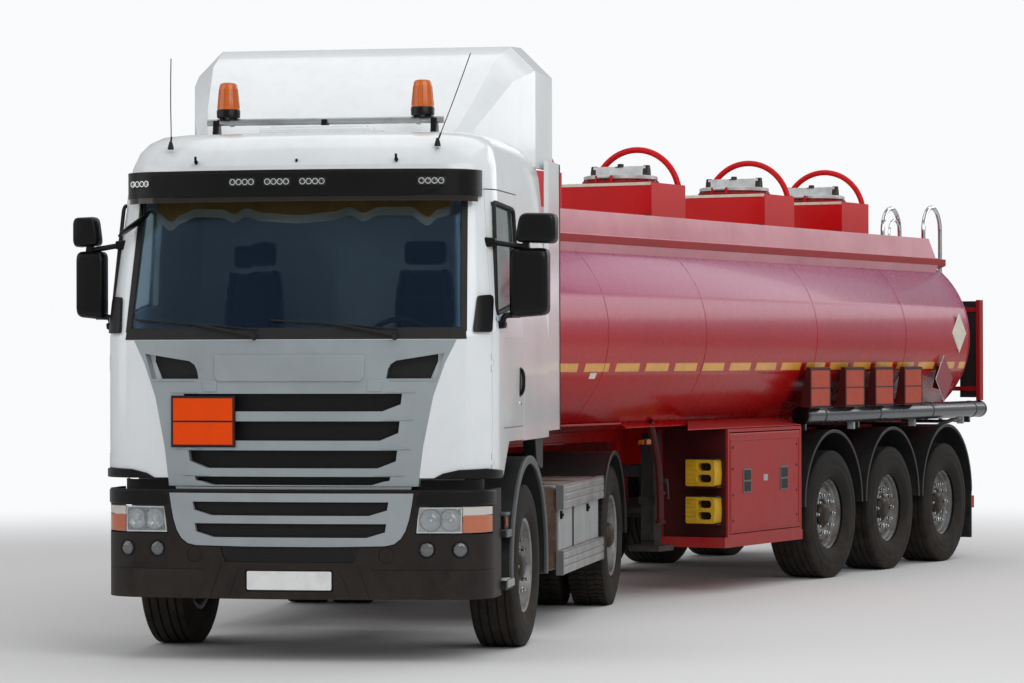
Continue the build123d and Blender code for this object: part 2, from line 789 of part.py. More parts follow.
WHEELS = (
    # name, vehicle, hub X, hub Y, tyre radius, tyre width, twin, disc, hub end
    ("steer", "tractor", STEER_TYRE_X, STEER_Y, TRACTOR_TYRE_R, TRACTOR_TYRE_W, False, 70, 130),
    ("drive", "tractor", DRIVE_TWIN_X, DRIVE_Y, TRACTOR_TYRE_R, DRIVE_TYRE_W, True, 0, 170),
    ("trailer_1", "trailer", TRAILER_TYRE_X, AXLE_1, TRAILER_TYRE_R, TRAILER_TYRE_W, False, 30, 110),
    ("trailer_2", "trailer", TRAILER_TYRE_X, AXLE_2, TRAILER_TYRE_R, TRAILER_TYRE_W, False, 30, 110),
    ("trailer_3", "trailer", TRAILER_TYRE_X, AXLE_3, TRAILER_TYRE_R, TRAILER_TYRE_W, False, 30, 110),
)

for name, vehicle, x, y, radius, width, twin, disc, hub_end in WHEELS:
    centres = (-TWIN_HALF, TWIN_HALF) if twin else (0,)
    half = TWIN_HALF + BEAD_HALF if twin else BEAD_HALF
    for side, about in (("left", None), ("right", Plane.YZ)):
        with BuildPart() as tyre:
            for centre in centres:
                with BuildSketch():
                    with BuildLine():
                        tyre_profile(centre, radius, width)
                    make_face()
                revolve(axis=Axis.X)
        with BuildPart() as rim:
            with BuildSketch():
                with BuildLine():
                    rim_profile(half, disc, hub_end)
                make_face()
            revolve(axis=Axis.X)
        for piece, kind in ((tyre, "tyre"), (rim, "rim")):
            placed = piece.part.moved(Location((x, y, radius)))
            if about is not None:
                placed = placed.mirror(about)
            pieces.append((placed, f"{name}_{kind}_{side}", vehicle))


# Tank of the trailer

def tank_section(scale=1.0):
    """Cross section of the tank: four arcs, drawn smaller at the dished ends."""
    middle = (TANK_TOP + TANK_BOTTOM) / 2

    def at(x, z):
        return (x * scale, middle + (z - middle) * scale)

    ThreePointArc(at(-TANK_SHOULDER[0], TANK_SHOULDER[1]), at(0, TANK_TOP), at(*TANK_SHOULDER))
    ThreePointArc(at(*TANK_SHOULDER), at(*TANK_SIDE), at(*TANK_HIP))
    ThreePointArc(at(*TANK_HIP), at(0, TANK_BOTTOM), at(-TANK_HIP[0], TANK_HIP[1]))
    ThreePointArc(
        at(-TANK_HIP[0], TANK_HIP[1]),
        at(-TANK_SIDE[0], TANK_SIDE[1]),
        at(-TANK_SHOULDER[0], TANK_SHOULDER[1]),
    )


with BuildPart() as tank:
    for y, scale in ((TANK_FRONT, 0.72), (TANK_FRONT + 110, 0.93), (TANK_FRONT + 280, 1.0)):
        with BuildSketch(Plane.XZ.offset(-y)):
            with BuildLine():
                tank_section(scale)
            make_face()
    loft(ruled=True)
    with BuildSketch(Plane.XZ.offset(-(TANK_FRONT + 280))):
        with BuildLine():
            tank_section()
        make_face()
    extrude(amount=-(TANK_REAR - TANK_FRONT - 560))
    for y, scale in ((TANK_REAR - 280, 1.0), (TANK_REAR - 110, 0.93), (TANK_REAR, 0.72)):
        with BuildSketch(Plane.XZ.offset(-y)):
            with BuildLine():
                tank_section(scale)
            make_face()
    loft(ruled=True)
keep(tank, "tank", "trailer")

with BuildPart() as tank_space:
    with BuildSketch(Plane.XZ.offset(-TANK_FRONT)):
        with BuildLine():
            tank_section()
        make_face()
        offset(amount=SEAT)
    extrude(amount=-(TANK_REAR - TANK_FRONT))

# Coaming: two folded walls along the top, joined across the ends, over a gutter
with BuildPart() as coaming:
    with BuildSketch(Plane.XZ.offset(-COAMING_FRONT)):
        with BuildLine():
            Polyline(
                (900, 2600),
                (985, 2600),
                (1010, 2665),
                (1010, 2730),
                (985, 2740),
                (960, 2910),
                (900, 2910),
                close=True,
            )
        make_face()
    extrude(amount=COAMING_FRONT - COAMING_REAR)
    with BuildSketch(Plane.YZ.offset(800)):
        with BuildLine():
            Polyline(
                (COAMING_REAR - 110, 2920),
                (COAMING_REAR + 10, 2735),
                (COAMING_REAR + 10, 2920),
                close=True,
            )
        make_face()
    extrude(amount=300, mode=Mode.SUBTRACT)
    mirror(about=Plane.YZ)
    for y in (COAMING_FRONT, COAMING_REAR - 170):
        block((-920, 920), (y, y + 40), (2700, 2880))
    add(tank_space.part, mode=Mode.SUBTRACT)
keep(coaming, "coaming", "trailer")

# Manhole boxes with a neck on top and a guard hoop behind the lid
with BuildPart() as manhole_boxes:
    for y in BOX_Y:
        block((-BOX_HALF_X, BOX_HALF_X), (y - BOX_HALF_Y, y + BOX_HALF_Y), (2700, BOX_TOP))
        with Locations((0, y, BOX_TOP - 5)):
            Cylinder(NECK_R, NECK_TOP - BOX_TOP + 5, align=(Align.CENTER, Align.CENTER, Align.MIN))
        with Locations((0, y, 2950)):
            Cylinder(NECK_BORE_R, 400, align=(Align.CENTER, Align.CENTER, Align.MIN), mode=Mode.SUBTRACT)
    add(tank_space.part, mode=Mode.SUBTRACT)
    for y in BOX_Y:
        guard_y = y + BOX_HALF_Y - 30
        with BuildLine(Plane(origin=(0, guard_y, GUARD_Z), x_dir=(1, 0, 0), z_dir=(0, -1, 0))):
            CenterArc((0, 0), GUARD_R, 0, 180)
        with BuildSketch(Plane(origin=(GUARD_R, guard_y, GUARD_Z), z_dir=(0, 0, 1))):
            Circle(25)
        sweep()
    for y in BOX_Y:
        for x in (-75, 60):
            block((x, x + 15), (y + LID_PIN_Y - 10, y + LID_PIN_Y + 10), (BOX_TOP - 5, LID_PIN_Z + 11))
        with BuildSketch(Plane.YZ.offset(-75)):
            with Locations((y + LID_PIN_Y, LID_PIN_Z)):
                Circle(LID_PIN_R)
        extrude(amount=150)
keep(manhole_boxes, "manhole_boxes", "trailer")

# Lids, each with a clamp bridge on top and a hinge barrel at the front of its neck
for number, y in enumerate(BOX_Y, start=1):
    with BuildPart() as lid:
        with Locations((0, y, NECK_TOP + SEAT)):
            Cylinder(LID_R, LID_T, align=(Align.CENTER, Align.CENTER, Align.MIN))
        block((-235, 235), (y - 25, y + 25), (NECK_TOP + LID_T - 5, NECK_TOP + 110))
        notch_y = (y - LID_R, y + LID_PIN_Y + 28)
        block((-LID_R, LID_R), notch_y, (NECK_TOP, LID_PIN_Z + 20), mode=Mode.SUBTRACT)
        block((-55, 55), (y + LID_PIN_Y, y + LID_PIN_Y + 45), (LID_PIN_Z - 10, LID_PIN_Z + 10))
        with BuildSketch(Plane.YZ.offset(-55)):
            with Locations((y + LID_PIN_Y, LID_PIN_Z)):
                Circle(12)
        extrude(amount=110)
        with BuildSketch(Plane.YZ.offset(-80)):
            with Locations((y + LID_PIN_Y, LID_PIN_Z)):
                Circle(LID_PIN_R + SEAT)
        extrude(amount=160, mode=Mode.SUBTRACT)
    keep(lid, f"manhole_lid_{number}", "trailer")

# Trailer frame: coupling plate with the kingpin, webs, rails, hangers, underrun bar and ladder
with BuildPart() as trailer_frame:
    block((-550, 550), (PLATE_FRONT, 1000), (PLATE_TOP + SEAT, 1196))
    with Locations((0, 0, 1100)):
        Cylinder(KINGPIN_R, 90, align=(Align.CENTER, Align.CENTER, Align.MIN))
    for x in (TRAILER_RAIL_IN, -TRAILER_RAIL_OUT):
        block((x, x + 80), (PLATE_FRONT, 1960), (1190, 1400))
        block((x, x + 80), (1950, FRAME_END), (TRAILER_RAIL_LOW, 1400))
        for y in TRAILER_AXLES_Y:
            block((x, x + 80), (y - 520, y - 440), (TRAILER_TYRE_R + 70, TRAILER_RAIL_LOW + 5))
    for y in (PLATE_FRONT + 10, 900, 1950, 3900, FRAME_END - 80):
        block((-TRAILER_RAIL_IN - 10, TRAILER_RAIL_IN + 10), (y, y + 60), (1190, 1400))
    for x in (470, -530):
        block((x, x + 60), (FRAME_END - 60, FRAME_END), (450, 1010))
    block((-1200, 1200), (FRAME_END - 20, FRAME_END + 60), (450, 560))
    for x in (LADDER_X[0], LADDER_X[1]):
        block((x - 20, x + 20), (FRAME_END, LADDER_Y + 20), (480, 540))
        block((x - 20, x + 20), (LADDER_Y - 20, LADDER_Y + 20), (480, HOOP_Z))
        block((x - 20, x + 20), (TANK_REAR - 10, LADDER_Y), (1930, 1970))
        block((x - 20, x + 20), (HOOP_Y - HOOP_R - 20, HOOP_Y - HOOP_R + 20), (2600, HOOP_Z))
        with BuildLine(Plane(origin=(x, HOOP_Y, HOOP_Z), x_dir=(0, 1, 0), z_dir=(1, 0, 0))):
            CenterArc((0, 0), HOOP_R, 0, 180)
        with BuildSketch(Plane(origin=(x, HOOP_Y + HOOP_R, HOOP_Z), z_dir=(0, 0, 1))):
            Circle(20)
        sweep()
    for step in range(8):
        z = 640 + step * 290
        block(LADDER_X, (LADDER_Y - 15, LADDER_Y + 15), (z, z + 30))
    add(tank_space.part, mode=Mode.SUBTRACT)
keep(trailer_frame, "trailer_frame", "trailer")

# Landing legs
with BuildPart() as landing_legs:
    block((-760, 760), (LEGS_Y - 40, LEGS_Y + 40), (910, TRAILER_RAIL_LOW - SEAT))
    for x in (-760, 760):
        block((x - 60, x + 60), (LEGS_Y - 60, LEGS_Y + 60), (380, 1250))
        block((x - 130, x + 130), (LEGS_Y - 130, LEGS_Y + 130), (340, 385))
keep(landing_legs, "landing_legs", "trailer")

# Axles of the trailer, each with trailing arms and air springs
with BuildPart() as trailer_axles:
    for y in TRAILER_AXLES_Y:
        with BuildSketch(Plane.YZ.offset(-840)):
            with Locations((y, TRAILER_TYRE_R)):
                Circle(64)
        extrude(amount=1680)
        with BuildSketch(Plane.YZ.offset(-1120)):
            with Locations((y, TRAILER_TYRE_R)):
                Circle(HUB_BORE_R)
        extrude(amount=2240)
        for x in (460, -520):
            block((x, x + 60), (y - 440 + SEAT, y + 480), (TRAILER_ARM_LOW, TRAILER_ARM_TOP))
            foot = TRAILER_ARM_TOP - 5
            with Locations((x + 30, y + 330, foot)):
                height = TRAILER_RAIL_LOW - SEAT - foot
                Cylinder(140, height, align=(Align.CENTER, Align.CENTER, Align.MIN))
keep(trailer_axles, "trailer_axles", "trailer")

# Mudguards over the trailer's wheels
with BuildPart() as trailer_mudguards:
    for y in TRAILER_AXLES_Y:
        arch_band(y, TRAILER_ARCH_Z, 620, 18, 0, 180, 850, 1240)
        block((TRAILER_RAIL_OUT + SEAT, 870), (y - 25, y + 25), (TRAILER_ARCH_Z + 570, TRAILER_ARCH_Z + 612))
    block((850, 1240), (AXLE_3 + 600, AXLE_3 + 620), (185, TRAILER_ARCH_Z + 10))
    mirror(about=Plane.YZ)
keep(trailer_mudguards, "trailer_mudguards", "trailer")

# Hose tubes along both sides
with BuildPart() as hose_tubes:
    with BuildSketch(Plane.XZ.offset(-4030)):
        with Locations((1165, 1355)):
            Circle(75)
    extrude(amount=-4170)
    for y in (4060, 5195, 6505, 7860):
        block((TRAILER_RAIL_OUT + SEAT, 1190), (y, y + 30), (1235, 1258))
        block((1130, 1190), (y, y + 30), (1240, 1300))
    mirror(about=Plane.YZ)
keep(hose_tubes, "hose_tubes", "trailer")

# The cabinet's door turns about a pin through the middle of its rounded top edge
CABINET_IN_SET = CABINET_WALL + MOVE
CABINET_PIN_X = CABINET_OUT - CABINET_DOOR_T / 2
CABINET_PIN_Z = CABINET_TOP - CABINET_IN_SET - CABINET_DOOR_T / 2

# Valve cabinet: a box open at its side, with four loading pipes inside
with BuildPart() as valve_cabinet:
    block((CABINET_IN, CABINET_OUT), (CABINET_FRONT, CABINET_BACK), (CABINET_LOW, CABINET_TOP))
    block(
        (CABINET_IN + CABINET_WALL, CABINET_OUT + 10),
        (CABINET_FRONT + CABINET_WALL, CABINET_BACK - CABINET_WALL),
        (CABINET_LOW + CABINET_WALL, CABINET_TOP - CABINET_WALL),
        mode=Mode.SUBTRACT,
    )
    lip_y = (CABINET_FRONT - 60, CABINET_BACK + 20)
    block((CABINET_IN, CABINET_OUT), lip_y, (CABINET_LOW - 75, CABINET_LOW + 5))
    for y in ADAPTOR_Y:
        with Locations(Plane(origin=(CABINET_IN + 20, y, ADAPTOR_Z), z_dir=(1, 0, 0)).location):
            Cylinder(60, 400, align=(Align.CENTER, Align.CENTER, Align.MIN))
        with Locations(Plane(origin=(CABINET_IN + 380, y, ADAPTOR_Z), z_dir=(1, 0, 0)).location):
            Cylinder(85, 40, align=(Align.CENTER, Align.CENTER, Align.MIN))
    for y in ADAPTOR_Y:
        with Locations(Plane(origin=(CABINET_IN + 120, y, ADAPTOR_Z), z_dir=(1, 0, 0)).location):
            Cylinder(50, 400, align=(Align.CENTER, Align.CENTER, Align.MIN), mode=Mode.SUBTRACT)
    for y in (2600, 3500):
        block((TRAILER_RAIL_OUT + SEAT, CABINET_IN + 5), (y, y + 80), (1040, 1120))
    for y in (CABINET_FRONT, CABINET_BACK - CABINET_WALL - 40):
        with BuildSketch(Plane.XZ.offset(-y)):
            with Locations((CABINET_PIN_X, CABINET_PIN_Z)):
                Circle(CABINET_PIN_R)
        extrude(amount=-(CABINET_WALL + 40))
keep(valve_cabinet, "valve_cabinet", "trailer")

# Cabinet door, hung at its top edge
with BuildPart() as cabinet_door:
    block(
        (CABINET_OUT - CABINET_DOOR_T, CABINET_OUT),
        (CABINET_FRONT + CABINET_IN_SET, CABINET_BACK - CABINET_IN_SET),
        (CABINET_LOW + CABINET_IN_SET, CABINET_PIN_Z),
    )
    with BuildSketch(Plane.XZ.offset(-(CABINET_FRONT + CABINET_IN_SET))):
        with Locations((CABINET_PIN_X, CABINET_PIN_Z)):
            Circle(CABINET_DOOR_T / 2)
    extrude(amount=-(CABINET_BACK - CABINET_FRONT - 2 * CABINET_IN_SET))
    with BuildSketch(Plane.XZ.offset(-CABINET_FRONT)):
        with Locations((CABINET_PIN_X, CABINET_PIN_Z)):
            Circle(CABINET_PIN_R + SEAT)
    extrude(amount=-(CABINET_WALL + 45), mode=Mode.SUBTRACT)
    with BuildSketch(Plane.XZ.offset(-(CABINET_BACK - CABINET_WALL - 45))):
        with Locations((CABINET_PIN_X, CABINET_PIN_Z)):
            Circle(CABINET_PIN_R + SEAT)
    extrude(amount=-(CABINET_WALL + 45), mode=Mode.SUBTRACT)
keep(cabinet_door, "cabinet_door", "trailer")

# The trailer is folded about the kingpin, and the origin goes to the ground under the middle of the whole
trailer_place = Location((0, KINGPIN_Y, 0), (0, 0, -FOLD_DEG))
placed = [
    (part.moved(trailer_place) if vehicle == "trailer" else part, name)
    for part, name, vehicle in pieces
]
bounds = [part.bounding_box() for part, name in placed]
middle_x = (min(box.min.X for box in bounds) + max(box.max.X for box in bounds)) / 2
middle_y = (min(box.min.Y for box in bounds) + max(box.max.Y for box in bounds)) / 2
print("origin in the tractor's frame", round(middle_x, 3), round(middle_y, 3))
for part, name in placed:
    moved = part.moved(Location((-middle_x, -middle_y, 0)))
    moved.label = name
    export_step(moved, f"parts/{name}.step")
    print(name, round(part.volume / 1e9, 5), len(part.solids()))
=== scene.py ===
# %% [markdown]
# A road tanker in Blender, one piece at a time.
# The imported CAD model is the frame: every body, pivot and size is already right, and nothing here moves it.
# This file gives each piece the finish and the small parts that the real vehicle shows.

# %% Load the frame
import json
import math

import bmesh
import bpy
from mathutils import Matrix, Vector

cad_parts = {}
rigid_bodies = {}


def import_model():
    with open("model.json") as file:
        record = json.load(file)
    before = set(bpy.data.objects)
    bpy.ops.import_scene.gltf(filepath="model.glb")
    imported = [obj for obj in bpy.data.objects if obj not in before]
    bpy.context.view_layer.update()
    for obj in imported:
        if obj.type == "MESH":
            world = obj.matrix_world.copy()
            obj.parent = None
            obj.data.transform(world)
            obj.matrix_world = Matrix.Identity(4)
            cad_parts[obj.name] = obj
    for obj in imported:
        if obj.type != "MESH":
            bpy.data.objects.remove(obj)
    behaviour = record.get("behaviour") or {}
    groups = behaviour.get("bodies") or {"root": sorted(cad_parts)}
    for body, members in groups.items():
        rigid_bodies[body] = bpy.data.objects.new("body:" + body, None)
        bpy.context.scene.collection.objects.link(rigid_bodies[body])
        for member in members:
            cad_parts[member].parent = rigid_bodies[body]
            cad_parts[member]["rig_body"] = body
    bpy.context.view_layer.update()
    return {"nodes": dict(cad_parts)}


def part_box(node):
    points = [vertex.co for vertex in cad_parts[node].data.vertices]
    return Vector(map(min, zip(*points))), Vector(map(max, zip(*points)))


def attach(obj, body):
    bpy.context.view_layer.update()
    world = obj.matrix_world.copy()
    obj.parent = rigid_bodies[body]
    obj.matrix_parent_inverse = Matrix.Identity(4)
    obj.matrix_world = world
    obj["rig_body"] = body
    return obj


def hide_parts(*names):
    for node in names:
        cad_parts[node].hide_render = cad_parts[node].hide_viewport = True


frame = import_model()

# %% [markdown]
# The tractor and the semi-trailer stand at an angle to each other, folded about the kingpin.
# Each is easiest to draw straight, in a frame of its own, so there are two place matrices.
# The tractor's frame starts on the ground under the middle of the bumper, and the trailer's at the kingpin.

# %% Two drawing frames
bumper_low, bumper_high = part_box("front_bumper")
TRACTOR = Matrix.Translation(((bumper_low.x + bumper_high.x) / 2, bumper_low.y, 0))
KINGPIN_Y = 4.56
FOLD = math.radians(-18.3)
TRAILER = TRACTOR @ Matrix.Translation((0, KINGPIN_Y, 0)) @ Matrix.Rotation(FOLD, 4, "Z")
print("tractor origin", tuple(round(v, 4) for v in TRACTOR.translation))


# %% [markdown]
# Most small parts are a few boxes, a turned profile, a bent pipe or a flat outline given a thickness.
# Each helper returns a plain mesh in metres, and one more helper dresses it, places it and lets it ride on a body.

# %% Mesh helpers
def linked(name, data):
    """A new object in the scene."""
    made = bpy.data.objects.new(name, data)
    bpy.context.scene.collection.objects.link(made)
    return made


def plain_mesh(holder):
    """The mesh that an object and its modifiers come to. The object itself goes."""
    bpy.context.view_layer.update()
    made = bpy.data.meshes.new_from_object(holder.evaluated_get(bpy.context.evaluated_depsgraph_get()))
    bpy.data.objects.remove(holder)
    return made


def shift(x, y, z):
    """A move."""
    return Matrix.Translation((x, y, z))


def mesh_of(bm, name="mesh"):
    """A mesh from a bmesh, with its faces turned outwards."""
    bmesh.ops.recalc_face_normals(bm, faces=bm.faces[:])
    mesh = bpy.data.meshes.new(name)
    bm.to_mesh(mesh)
    bm.free()
    return mesh


def boxes(rows):
    """Boxes from rows of low X, high X, low Y, high Y, low Z, high Z."""
    bm = bmesh.new()
    for x0, x1, y0, y1, z0, z1 in rows:
        made = bmesh.ops.create_cube(bm, size=1.0)["verts"]
        for vert in made:
            vert.co.x = x0 if vert.co.x < 0 else x1
            vert.co.y = y0 if vert.co.y < 0 else y1
            vert.co.z = z0 if vert.co.z < 0 else z1
    return mesh_of(bm)


def turned(profile, centre=(0, 0, 0), axis="X", steps=48, loop=False):
    """A solid turned about an axis, from rows of place along the axis and radius, closed at its ends or round."""
    bm = bmesh.new()
    rings = []
    for along, radius in profile:
        if radius < 1e-6:
            rings.append([bm.verts.new((along, 0, 0))])
            continue
        ring = []
        for step in range(steps):
            turn = 2 * math.pi * step / steps
            ring.append(bm.verts.new((along, radius * math.cos(turn), radius * math.sin(turn))))
        rings.append(ring)
    following = rings[1:] + ([rings[0]] if loop else [])
    for first, second in zip(rings, following):
        for step in range(steps):
            after = (step + 1) % steps
            if len(first) == 1 and len(second) == 1:
                continue
            if len(first) == 1:
                bm.faces.new((first[0], second[step], second[after]))
            elif len(second) == 1:
                bm.faces.new((first[step], first[after], second[0]))
            else:
                bm.faces.new((first[step], first[after], second[after], second[step]))
    for ring in () if loop else (rings[0], rings[-1]):
        if len(ring) > 1:
            bm.faces.new(ring)
    turn = {"X": Matrix.Identity(4), "Y": Matrix.Rotation(math.pi / 2, 4, "Z"),
        "Z": Matrix.Rotation(-math.pi / 2, 4, "Y")}[axis]
    bmesh.ops.transform(bm, matrix=Matrix.Translation(centre) @ turn, verts=bm.verts[:])
    return mesh_of(bm)


for name, solid in (("box", boxes([(0, 1, 0, 1, 0, 1)])), ("cone", turned([(0, 1), (1, 0)]))):
    print("a", name, "has", len(solid.polygons), "faces")
    bpy.data.meshes.remove(solid)

# %% [markdown]
# A bar or a hose is a curve with a round section, and a plate is one flat face pushed out to its thickness.
# A curve bends smoothly through a few points, where a box or a turned shape would need many.

# %% Bars and plates
def pipe(points, radius, smooth=True, sides=12, closed=False):
    """A round bar or pipe along points, smooth through bends or straight between them."""
    curve = bpy.data.curves.new("pipe", "CURVE")
    curve.dimensions = "3D"
    curve.bevel_depth = radius
    curve.bevel_resolution = max(1, sides // 4 - 1)
    curve.use_fill_caps = True
    spline = curve.splines.new("NURBS" if smooth else "POLY")
    spline.points.add(len(points) - 1)
    for point, place in zip(spline.points, points):
        point.co = (*place, 1)
    if smooth:
        spline.order_u = 3
        spline.use_endpoint_u = not closed
        spline.resolution_u = 6
    spline.use_cyclic_u = closed
    bm = bmesh.new()
    bm.from_mesh(plain_mesh(linked("pipe", curve)))
    bmesh.ops.remove_doubles(bm, verts=bm.verts[:], dist=1e-5)
    return mesh_of(bm)


def oblong(low, high, bottom, top):
    """The outline of a rectangle."""
    return [(low, bottom), (high, bottom), (high, top), (low, top)]


PLANES = {"XZ": lambda a, b, t: (a, t, b), "YZ": lambda a, b, t: (t, a, b), "XY": lambda a, b, t: (a, b, t)}


def outline_plate(points, low, high, plane="XZ"):
    """A flat outline given a thickness between two places across its plane."""
    bm = bmesh.new()
    across = PLANES[plane]
    face = bm.faces.new([bm.verts.new(across(a, b, low)) for a, b in points])
    side = bmesh.ops.extrude_face_region(bm, geom=[face])["geom"]
    moving = [item for item in side if isinstance(item, bmesh.types.BMVert)]
    bmesh.ops.translate(bm, vec=Vector(across(0, 0, high - low)), verts=moving)
    return mesh_of(bm)


plate = outline_plate(oblong(0, 1, 0, 1), 0, 0.1)
print("a plate has", len(plate.polygons), "faces")
bpy.data.meshes.remove(plate)

# %% [markdown]
# Parts with the same finish on the same body become one object, which keeps the list of pieces short.
# Most parts come in a left and a right one, so a side is drawn once and mirrored.
# The last helpers give a mesh its name, place, finish and soft edges.

# %% Join, mirror and place
def joined(meshes):
    """Several meshes as one."""
    bm = bmesh.new()
    for mesh in meshes:
        bm.from_mesh(mesh)
        bpy.data.meshes.remove(mesh)
    made = bpy.data.meshes.new("joined")
    bm.to_mesh(made)
    bm.free()
    return made


def moved(mesh, matrix):
    """The mesh after a move or turn."""
    mesh.transform(matrix)
    return mesh


def flipped(mesh):
    """The mesh turned over across X, with its faces still outwards."""
    mesh.transform(Matrix.Diagonal((-1, 1, 1, 1)))
    mesh.flip_normals()
    return mesh


def mirrored(mesh):
    """The mesh together with its mirror image across X."""
    return joined([mesh, flipped(mesh.copy())])


def piece(name, mesh, body, material, place=TRACTOR, smooth=35, bevel=0.0):
    """An object with its place in its mesh, riding on a body, with soft edges."""
    mesh.name = name
    mesh.transform(place)
    mesh.materials.clear()
    mesh.materials.append(material)
    mesh.shade_smooth()
    mesh.set_sharp_from_angle(angle=math.radians(smooth))
    made = linked(name, mesh)
    if bevel:
        edge = made.modifiers.new("edges", "BEVEL")
        edge.width = bevel
        edge.segments = 2
        edge.limit_method = "ANGLE"
        edge.angle_limit = math.radians(smooth)
    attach(made, body)
    return made


def tractor_pair(name, mesh, material, bevel=0.0):
    """A piece for both sides of the tractor, drawn for the left."""
    return piece(name, mirrored(mesh), "tractor", material, bevel=bevel)


def trailer_pair(name, mesh, material, bevel=0.0):
    """A piece for both sides of the trailer, drawn for the left."""
    return piece(name, mirrored(mesh), "trailer", material, TRAILER, bevel=bevel)


pair = mirrored(boxes([(1, 2, 0, 1, 0, 1)]))
print("a box and its mirror image have", len(pair.polygons), "faces")
bpy.data.meshes.remove(pair)

# %% [markdown]
# Colours are written as sRGB hex values, as read from a paint chart, and turned to linear once, here.
# One small function adds a node with its settings and its links, so each material below reads as a recipe.

# %% Material helpers
def colour(hex_value):
    """Linear RGBA from an sRGB hex value."""
    parts = [int(hex_value[i:i + 2], 16) / 255 for i in (1, 3, 5)]
    return [c / 12.92 if c <= 0.04045 else ((c + 0.055) / 1.055) ** 2.4 for c in parts] + [1.0]


def fill(material, node, values=None, links=None):
    """Sets a node's inputs by name or number, and links others from a node's first output or from a given one."""
    for name, value in (values or {}).items():
        node.inputs[name].default_value = value
    for name, source in (links or {}).items():
        source = source.outputs[0] if isinstance(source, bpy.types.Node) else source
        material.node_tree.links.new(source, node.inputs[name])
    return node


def add_node(material, kind, values=None, links=None, **settings):
    """Adds a node with its settings, values and links, and returns it."""
    made = material.node_tree.nodes.new("ShaderNode" + kind)
    for name, value in settings.items():
        setattr(made, name, value)
    return fill(material, made, values, links)


def start_material(name):
    """An empty node material, with object coordinates and the shader ready."""
    material = bpy.data.materials.new(name)
    material.use_nodes = True
    tree = material.node_tree
    tree.nodes.clear()
    shader = tree.nodes.new("ShaderNodeBsdfPrincipled")
    output = tree.nodes.new("ShaderNodeOutputMaterial")
    tree.links.new(shader.outputs[0], output.inputs[0])
    place = tree.nodes.new("ShaderNodeTexCoord").outputs["Object"]
    return material, shader, place


print("mid grey in linear light", round(colour("#808080")[0], 3))

# %% [markdown]
# Nothing on a used truck has one even colour. Paint wears in patches, dust lies thickest near the road, rain streaks.
# All finishes share one recipe with other numbers, because a flat colour would look like a toy.
# In it, wear is how far the worn colour shows, dirt is how thick the dust lies and dust_top how high it gets.

# %% Weathered and clear finishes
def weathered(name, base, rough, worn=None, wear=0.3, dust="#8d857a", dust_top=1.2, dirt=0.35, metallic=0.0, coat=0.0,
        grain_mm=0.0, grain_depth=0.0003, patch_m=0.8, streaks=0.0, sky_sheen=None, shine=0.5):
    """A finish with uneven colour, road dust that fades with height, pale streaks, a fine grain and a painted sky
    reflection on top.
    """
    material, shader, place = start_material(name)
    patch = add_node(material, "TexNoise", {"Scale": 1 / patch_m, "Detail": 6.0, "Roughness": 0.62},
        {"Vector": place})
    spread = add_node(material, "MapRange", {"From Min": 0.42, "From Max": 0.68}, {"Value": patch})
    worn_part = add_node(material, "Math", {1: wear}, {0: spread}, operation="MULTIPLY")
    mix = add_node(material, "Mix", {6: colour(base), 7: colour(worn or base)}, {0: worn_part}, data_type="RGBA")
    height = add_node(material, "SeparateXYZ", links={0: place})
    # Towards the top the colour shifts to a paler tint: a painted reflection of the sky.
    if sky_sheen:
        tint, sheen_low, sheen_high, sheen_amount = sky_sheen
        sky_sheen_part = add_node(material, "MapRange", {"From Min": sheen_low, "From Max": sheen_high, "To Max": sheen_amount},
            {"Value": height.outputs[2]}, interpolation_type="SMOOTHSTEP")
        mix = add_node(material, "Mix", {7: colour(tint)}, {0: sky_sheen_part, 6: mix.outputs[2]}, data_type="RGBA")
    low = add_node(material, "MapRange", {"From Min": dust_top, "From Max": 0.25, "To Max": dirt},
        {"Value": height.outputs[2]})
    speck = add_node(material, "TexNoise", {"Scale": 9.0, "Detail": 8.0, "Roughness": 0.7}, {"Vector": place})
    speck_part = add_node(material, "MapRange", {"From Min": 0.3, "From Max": 0.75}, {"Value": speck})
    dusty = add_node(material, "Math", links={0: low, 1: speck_part}, operation="MULTIPLY")
    if streaks:
        stretch = add_node(material, "Mapping", {"Scale": (7.0, 7.0, 0.55)}, {"Vector": place})
        runs = add_node(material, "TexNoise", {"Scale": 1.6, "Detail": 5.0}, {"Vector": stretch})
        run_part = add_node(material, "MapRange", {"From Min": 0.52, "From Max": 0.8, "To Max": streaks},
            {"Value": runs})
        dusty = add_node(material, "Math", links={0: dusty, 1: run_part}, operation="MAXIMUM")
    final = add_node(material, "Mix", {7: colour(dust)}, {0: dusty, 6: mix.outputs[2]}, data_type="RGBA")
    roughness = add_node(material, "MapRange", {"To Min": rough, "To Max": min(1.0, rough + 0.45)}, {"Value": dusty})
    uneven = add_node(material, "MapRange", {"To Min": -0.06, "To Max": 0.06}, {"Value": speck})
    total = add_node(material, "Math", links={0: roughness, 1: uneven}, operation="ADD", use_clamp=True)
    fill(material, shader, {"Metallic": metallic, "Specular IOR Level": shine, "Coat Weight": coat,
        "Coat Roughness": 0.06}, {"Base Color": final.outputs[2], "Roughness": total})
    if grain_mm:
        grain = add_node(material, "TexNoise", {"Scale": 1000 / grain_mm, "Detail": 3.0}, {"Vector": place})
        bump = add_node(material, "Bump", {"Strength": 0.5, "Distance": grain_depth}, {"Height": grain})
        fill(material, shader, links={"Normal": bump})
    return material


